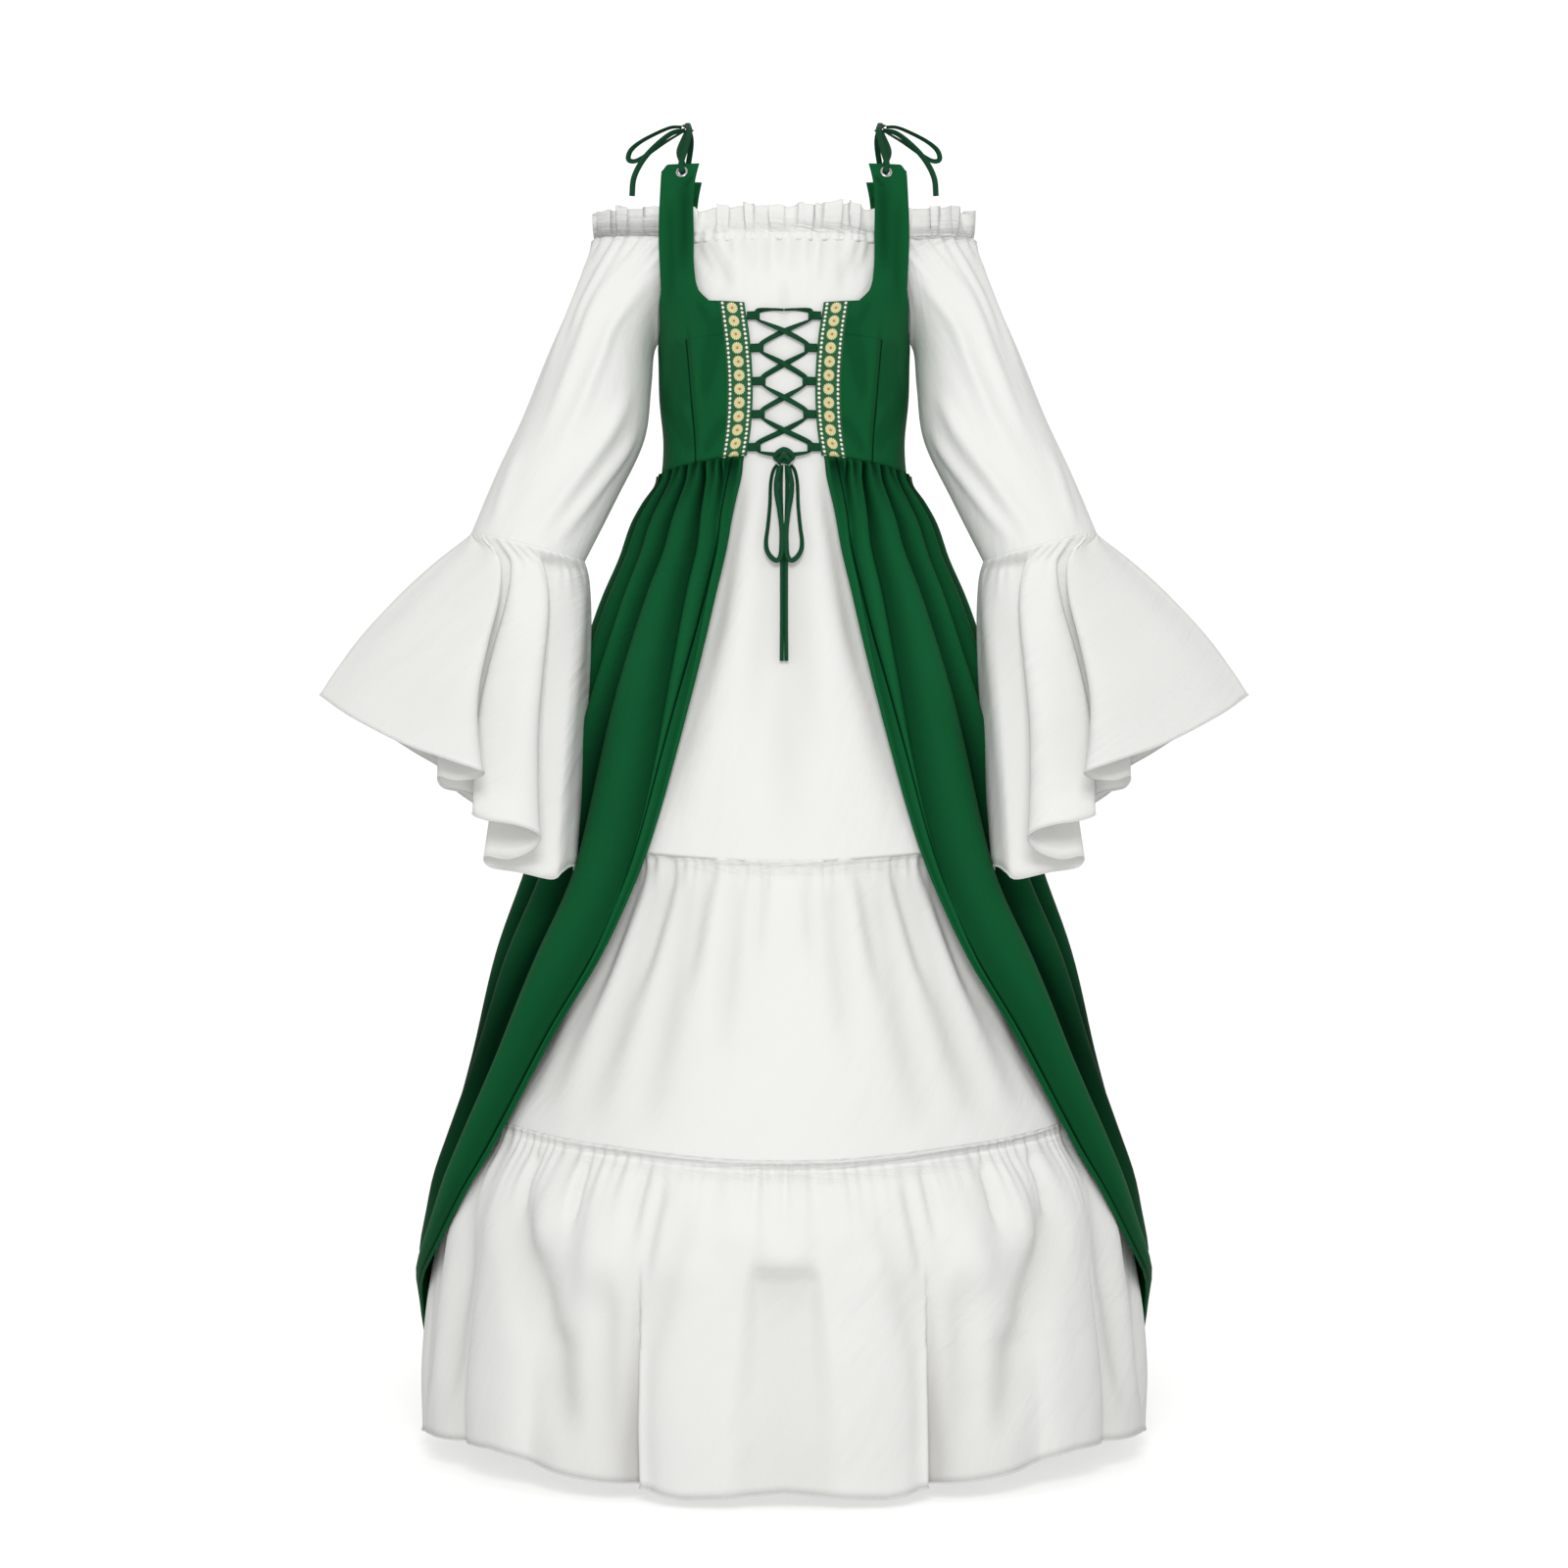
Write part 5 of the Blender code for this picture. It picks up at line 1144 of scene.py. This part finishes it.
def makeBodice():
    # both fronts are one grid each, cut away above the neckline; the back is one grid for both sides
    drops = steps(*bodice["rows"])
    drop = drops[:, None]
    top = int(np.argmin(np.abs(drops - bodice["neckline"])))
    laced = tableValue(lacedEdge, drop, 1)
    inner, outer = bodice["innerColumns"], bodice["outerColumns"]
    angle = bodiceAngles(drop, laced, inner, outer)
    grid, x, level, dip = bodiceSheet(angle, drop)
    sink = ease(1 - (drop[top:] - bodice["neckline"]) / 40) * np.clip((86 - x[top:]) / 46, 0, 1)
    grid[top:, :, 2] -= sink * bodice["sink"]  # the neckline dips towards the lacing
    keep = np.ones((len(drops) - 1, angle.shape[1] - 1), bool)
    keep[:top, :inner - 1] = False
    keep = holed(grid, keep, strapFace(-1)[0])
    dart = (x - (101 - (level - 234) * 10 / 120)) + 60 * (level < 232)
    band = trimBand(grid[top:], drops[top:], laced[top:])
    for word in ("Left", "Right"):
        if word == "Right":
            grid, band = otherSide(grid), otherSide(band)
            keep, dart, dip = keep[:, ::-1], dart[:, ::-1], dip[:, ::-1]
        low = word.lower()
        trim = makeSheet(f"trim{word}", band, trimWoven, [f"trim_{low}"],
                         wall=bodice["trimWall"])
        made = makeSheet(f"bodiceFront{word}", grid, greenCloth, [f"bodice_front_{low}"],
                         wall=bodice["wall"], keep=keep, seam=dart, paintedShade=dip)
    half = np.pi - bodiceAngles(drop, np.zeros_like(drop), bodice["backColumns"], outer)
    angle = np.concatenate([half[:, ::-1], (2 * np.pi - half)[:, 1:]], axis=1)
    grid, x, level, dip = bodiceSheet(angle, drop)
    keep = np.ones((len(drops) - 1, angle.shape[1] - 1), bool)
    keep[:int(np.argmin(np.abs(drops - bodice["backNeckline"]))), outer - 1:1 - outer] = False
    for way in (1, -1):
        keep = holed(grid, keep, strapFace(1)[0] * np.array([way, 1, 1]))
    made = makeSheet("bodiceBack", grid, greenCloth, ["bodice_back"], wall=bodice["wall"],
                     keep=keep, paintedShade=dip)


makeBodice()
print("bodice ready")


# Lace tabs: a strip folded round the lace
tab = {"columns": 24, "rows": 7, "stretch": 9.0, "halfLength": 6.6, "bulge": 3.2, "halfThickness": 2.3,
       "halfHeight": 4.1, "inward": 0.4, "flare": 0.10, "shells": ((1.0, 1.0), (0.86, 0.62))}


def makeTabs():
    # each tab is an oval strip of two shells, the inner one smaller, joined along both edges
    turn = np.arange(tab["columns"]) * 2 * np.pi / tab["columns"]
    long = np.clip(np.cos(turn) * tab["stretch"], -tab["halfLength"], tab["halfLength"])
    bulge = np.clip(np.sin(turn) * tab["bulge"], -tab["halfThickness"], tab["halfThickness"])
    perTab = 2 * tab["rows"] * tab["columns"]
    number = np.arange(perTab).reshape(2, tab["rows"], tab["columns"])
    number = np.concatenate([number, number[..., :1]], axis=2)
    faces = (corners(number[0]), corners(number[1], True), corners(number[:, 0], True),
             corners(number[:, -1]))
    faces = np.concatenate([part.reshape(-1, 4) for part in faces])
    points, quads = [], []
    for middle in lacing["tabs"]:
        for side in (1, -1):
            tip = tabTip(middle)
            root = tip + tab["halfLength"]
            quads.append((faces if side > 0 else faces[:, ::-1]) + perTab * len(quads))
            for reach, grow in tab["shells"]:
                out = lacing["out"] - tab["inward"] + bulge * grow * np.where(root + long < tip + 8, 1, 0.6)
                x = root + long * reach
                for down in np.linspace(-tab["halfHeight"], tab["halfHeight"], tab["rows"]):
                    wide = 1 + tab["flare"] * (np.abs(down) / tab["halfHeight"]) * (x < tip + 3)
                    points.append(frontPoint(side * x, middle + down * wide, out))
    points, quads = np.concatenate(points), np.concatenate(quads)
    uvs = points[quads][..., [0, 2]].reshape(-1, 2) * mm
    made = meshFrom("laceTabs", points, quads, uvs, laceBraid)
    finishPiece(made, [f"lace_tab_{n}_{s}" for n in range(1, 6) for s in ("left", "right")])


makeTabs()
print("tabs ready")


# The open over-skirt
overskirt = {"perFold": 26, "rows": ((353.15, 392, 18), (397, 480, 18), (490, 1345, 58)), "wall": 0.9,
             "flat": (2.6, 1.02), "area": 1.8, "pinch": 0.30, "steep": 0.36, "out": 1.2, "least": 0.6,
             "gathers": 4.4, "soft": 2.0, "edgeRoll": 1.6, "edgeDip": 1.0, "sewnIn": 12.0}
valleys = [  # drop, then the angle of the open edge and of each valley back to the centre
    (350, 18.5, 29.5, 38.5, 49, 61, 74, 95, 117, 139, 160, 180),
    (395, 19.8, 27, 36, 49, 62, 77, 96, 118, 140, 160, 180),
    (431, 20.8, 26, 34.8, 50, 64, 79, 98, 119, 140, 160, 180),
    (490, 22.7, 26.5, 35, 53, 65, 81, 100, 120, 141, 160, 180),
    (580, 25.7, 27.6, 35, 55.5, 67, 82, 101, 121, 141, 160, 180),
    (700, 30.5, 31.5, 35.5, 56, 69, 84, 102, 122, 141, 160, 180),
    (800, 36.2, 37, 39.4, 58, 73, 88, 104, 123, 142, 161, 180),
    (865, 41, 41.6, 43.2, 62.5, 77, 91, 106, 124, 142, 161, 180),
    (945, 51, 51.5, 52.8, 68, 81, 94, 108, 126, 143, 161, 180),
    (1025, 59, 59.4, 60.4, 74, 85.5, 97, 110, 127, 144, 162, 180),
    (1130, 69, 69.4, 70.2, 82, 92, 103, 115, 131, 147, 163, 180),
    (1180, 77, 77.4, 78.1, 88, 97, 107, 119, 134, 149, 164, 180),
    (1222, 89, 89.3, 90, 98, 106, 114, 125, 138, 152, 166, 180),
    (1290, 99, 99.3, 99.8, 106, 113, 121, 131, 143, 156, 168, 180),
    (1345, 104, 104.3, 104.8, 111, 118, 126, 136, 147, 158, 169, 180)]
foldHeights = [  # drop, most height in front, at the sides and behind
    (350, 0, 0, 0), (358, 3, 1, 1), (372, 11, 3, 3), (395, 18, 9, 9), (420, 22, 13, 13), (494, 28, 19, 21),
    (650, 31, 23, 27), (980, 30, 26, 34), (1055, 26, 23, 36), (1105, 20, 13, 37), (1197, 12, 8, 38),
    (1345, 8, 6, 38)]


def overskirtGrid():
    # folds stand out between the valleys as raised cosines, each as high as its width allows: the most for
    # its place times 1 less an exponential of width over height
    drop = steps(*overskirt["rows"])[:, None]
    table = np.array(valleys, float)
    count = table.shape[1] - 2
    fold = np.linspace(0, count, count * overskirt["perFold"] + 1)[None, :]
    places = smoothValue(drop[:, 0], table[:, 0], table[:, 1:])
    phase = 2 * np.pi * fold
    drawn = np.clip(fold - overskirt["pinch"] * np.sin(phase) / (2 * np.pi), 0, count)
    first = np.clip(np.floor(drawn).astype(int), 0, count - 1)
    rowAt = np.arange(len(drop))[:, None]
    low, high = places[rowAt, first], places[rowAt, first + 1]
    angle = np.radians(low + (high - low) * (drawn - first))
    behind = ease((np.degrees(angle) - 92) / 70)
    level = dipped(np.broadcast_to(drop, angle.shape), angle)
    front = ease((72 - np.degrees(angle)) / 26)
    inFront, aside, atBack = (tableValue(foldHeights, level, column) for column in (1, 2, 3))
    most = aside * (1 - behind) + atBack * behind
    most = most + (inFront - most) * front
    radius = tableValue(overskirtForm, level, 1)
    wide = np.radians(high - low) * radius
    height = most * (1 - np.exp(-overskirt["steep"] * wide / np.maximum(most, 1e-6) * 1.6))
    ridge = (1 - np.cos(phase)) / 2
    small = (1 - np.cos(phase * 2 + 1.4 * uneven(fold * 3, 0, 73))) / 2
    near = np.exp(-np.maximum(level - 366, 0) / 28) * ease((level - bodice["waist"]) / 8)
    soft = overskirt["soft"] * uneven(fold * 2.2, drop / 120, 74) * ease((drop - 420) / 100)
    inFromEdge = (angle - angle[:, :1]) * radius
    out = overskirt["out"] + height * ridge + overskirt["gathers"] * small * near
    out = out + soft * np.clip(wide / 40, 0, 1) * ridge
    out = out + overskirt["edgeRoll"] * hump(inFromEdge - 15, 3.0)
    out = out - overskirt["edgeDip"] * hump(inFromEdge - 11.5, 2.0)
    out = np.maximum(out, overskirt["least"])
    grid = around(formRadii(overskirtForm, angle, level), angle, level, out)
    # painted shade: darker in the valleys between folds, between the gathers under the waist and on the
    # sides lower down, less behind
    low = (1 - ridge) ** 1.1 * ease(inFromEdge / 25) * ease((level - 352) / 10)
    low = low * np.clip(0.72 + 0.30 * uneven(fold * 1.7, drop / 170, 75), 0.3, 1)
    paintedFoldShade = 0.95 * low * np.clip(wide / 20, 0.2, 1) + 0.8 * (1 - small) * near
    shaded = ease((np.degrees(angle - angle[:, :1]) - 11) / 10) * (1 - 0.75 * behind)
    shaded = shaded * (0.30 * ease((level - 560) / 120) + 0.45 * ease((level - 800) / 180))
    return grid, inFromEdge, level, np.clip(paintedFoldShade * (1 - 0.3 * behind) + shaded, 0, 0.92)


def bothSides(values):  # one half's values, then its mirror image's
    return np.concatenate([values, values[:, ::-1][:, 1:]], axis=1)


grid, inFromEdge, level, paintedFoldShade = overskirtGrid()
whole = np.concatenate([grid, otherSide(grid)[:, 1:]], axis=1)
made = makeSheet("overskirt", whole, greenCloth,
                 ["overskirt_left", "overskirt_right", "overskirt_back"], wall=overskirt["wall"],
                 seam=bothSides(inFromEdge - overskirt["sewnIn"]),
                 gather=2.4 * np.exp(-(bothSides(level) - bodice["waist"]) / 10), paintedShade=bothSides(paintedFoldShade))
print("over-skirt ready")
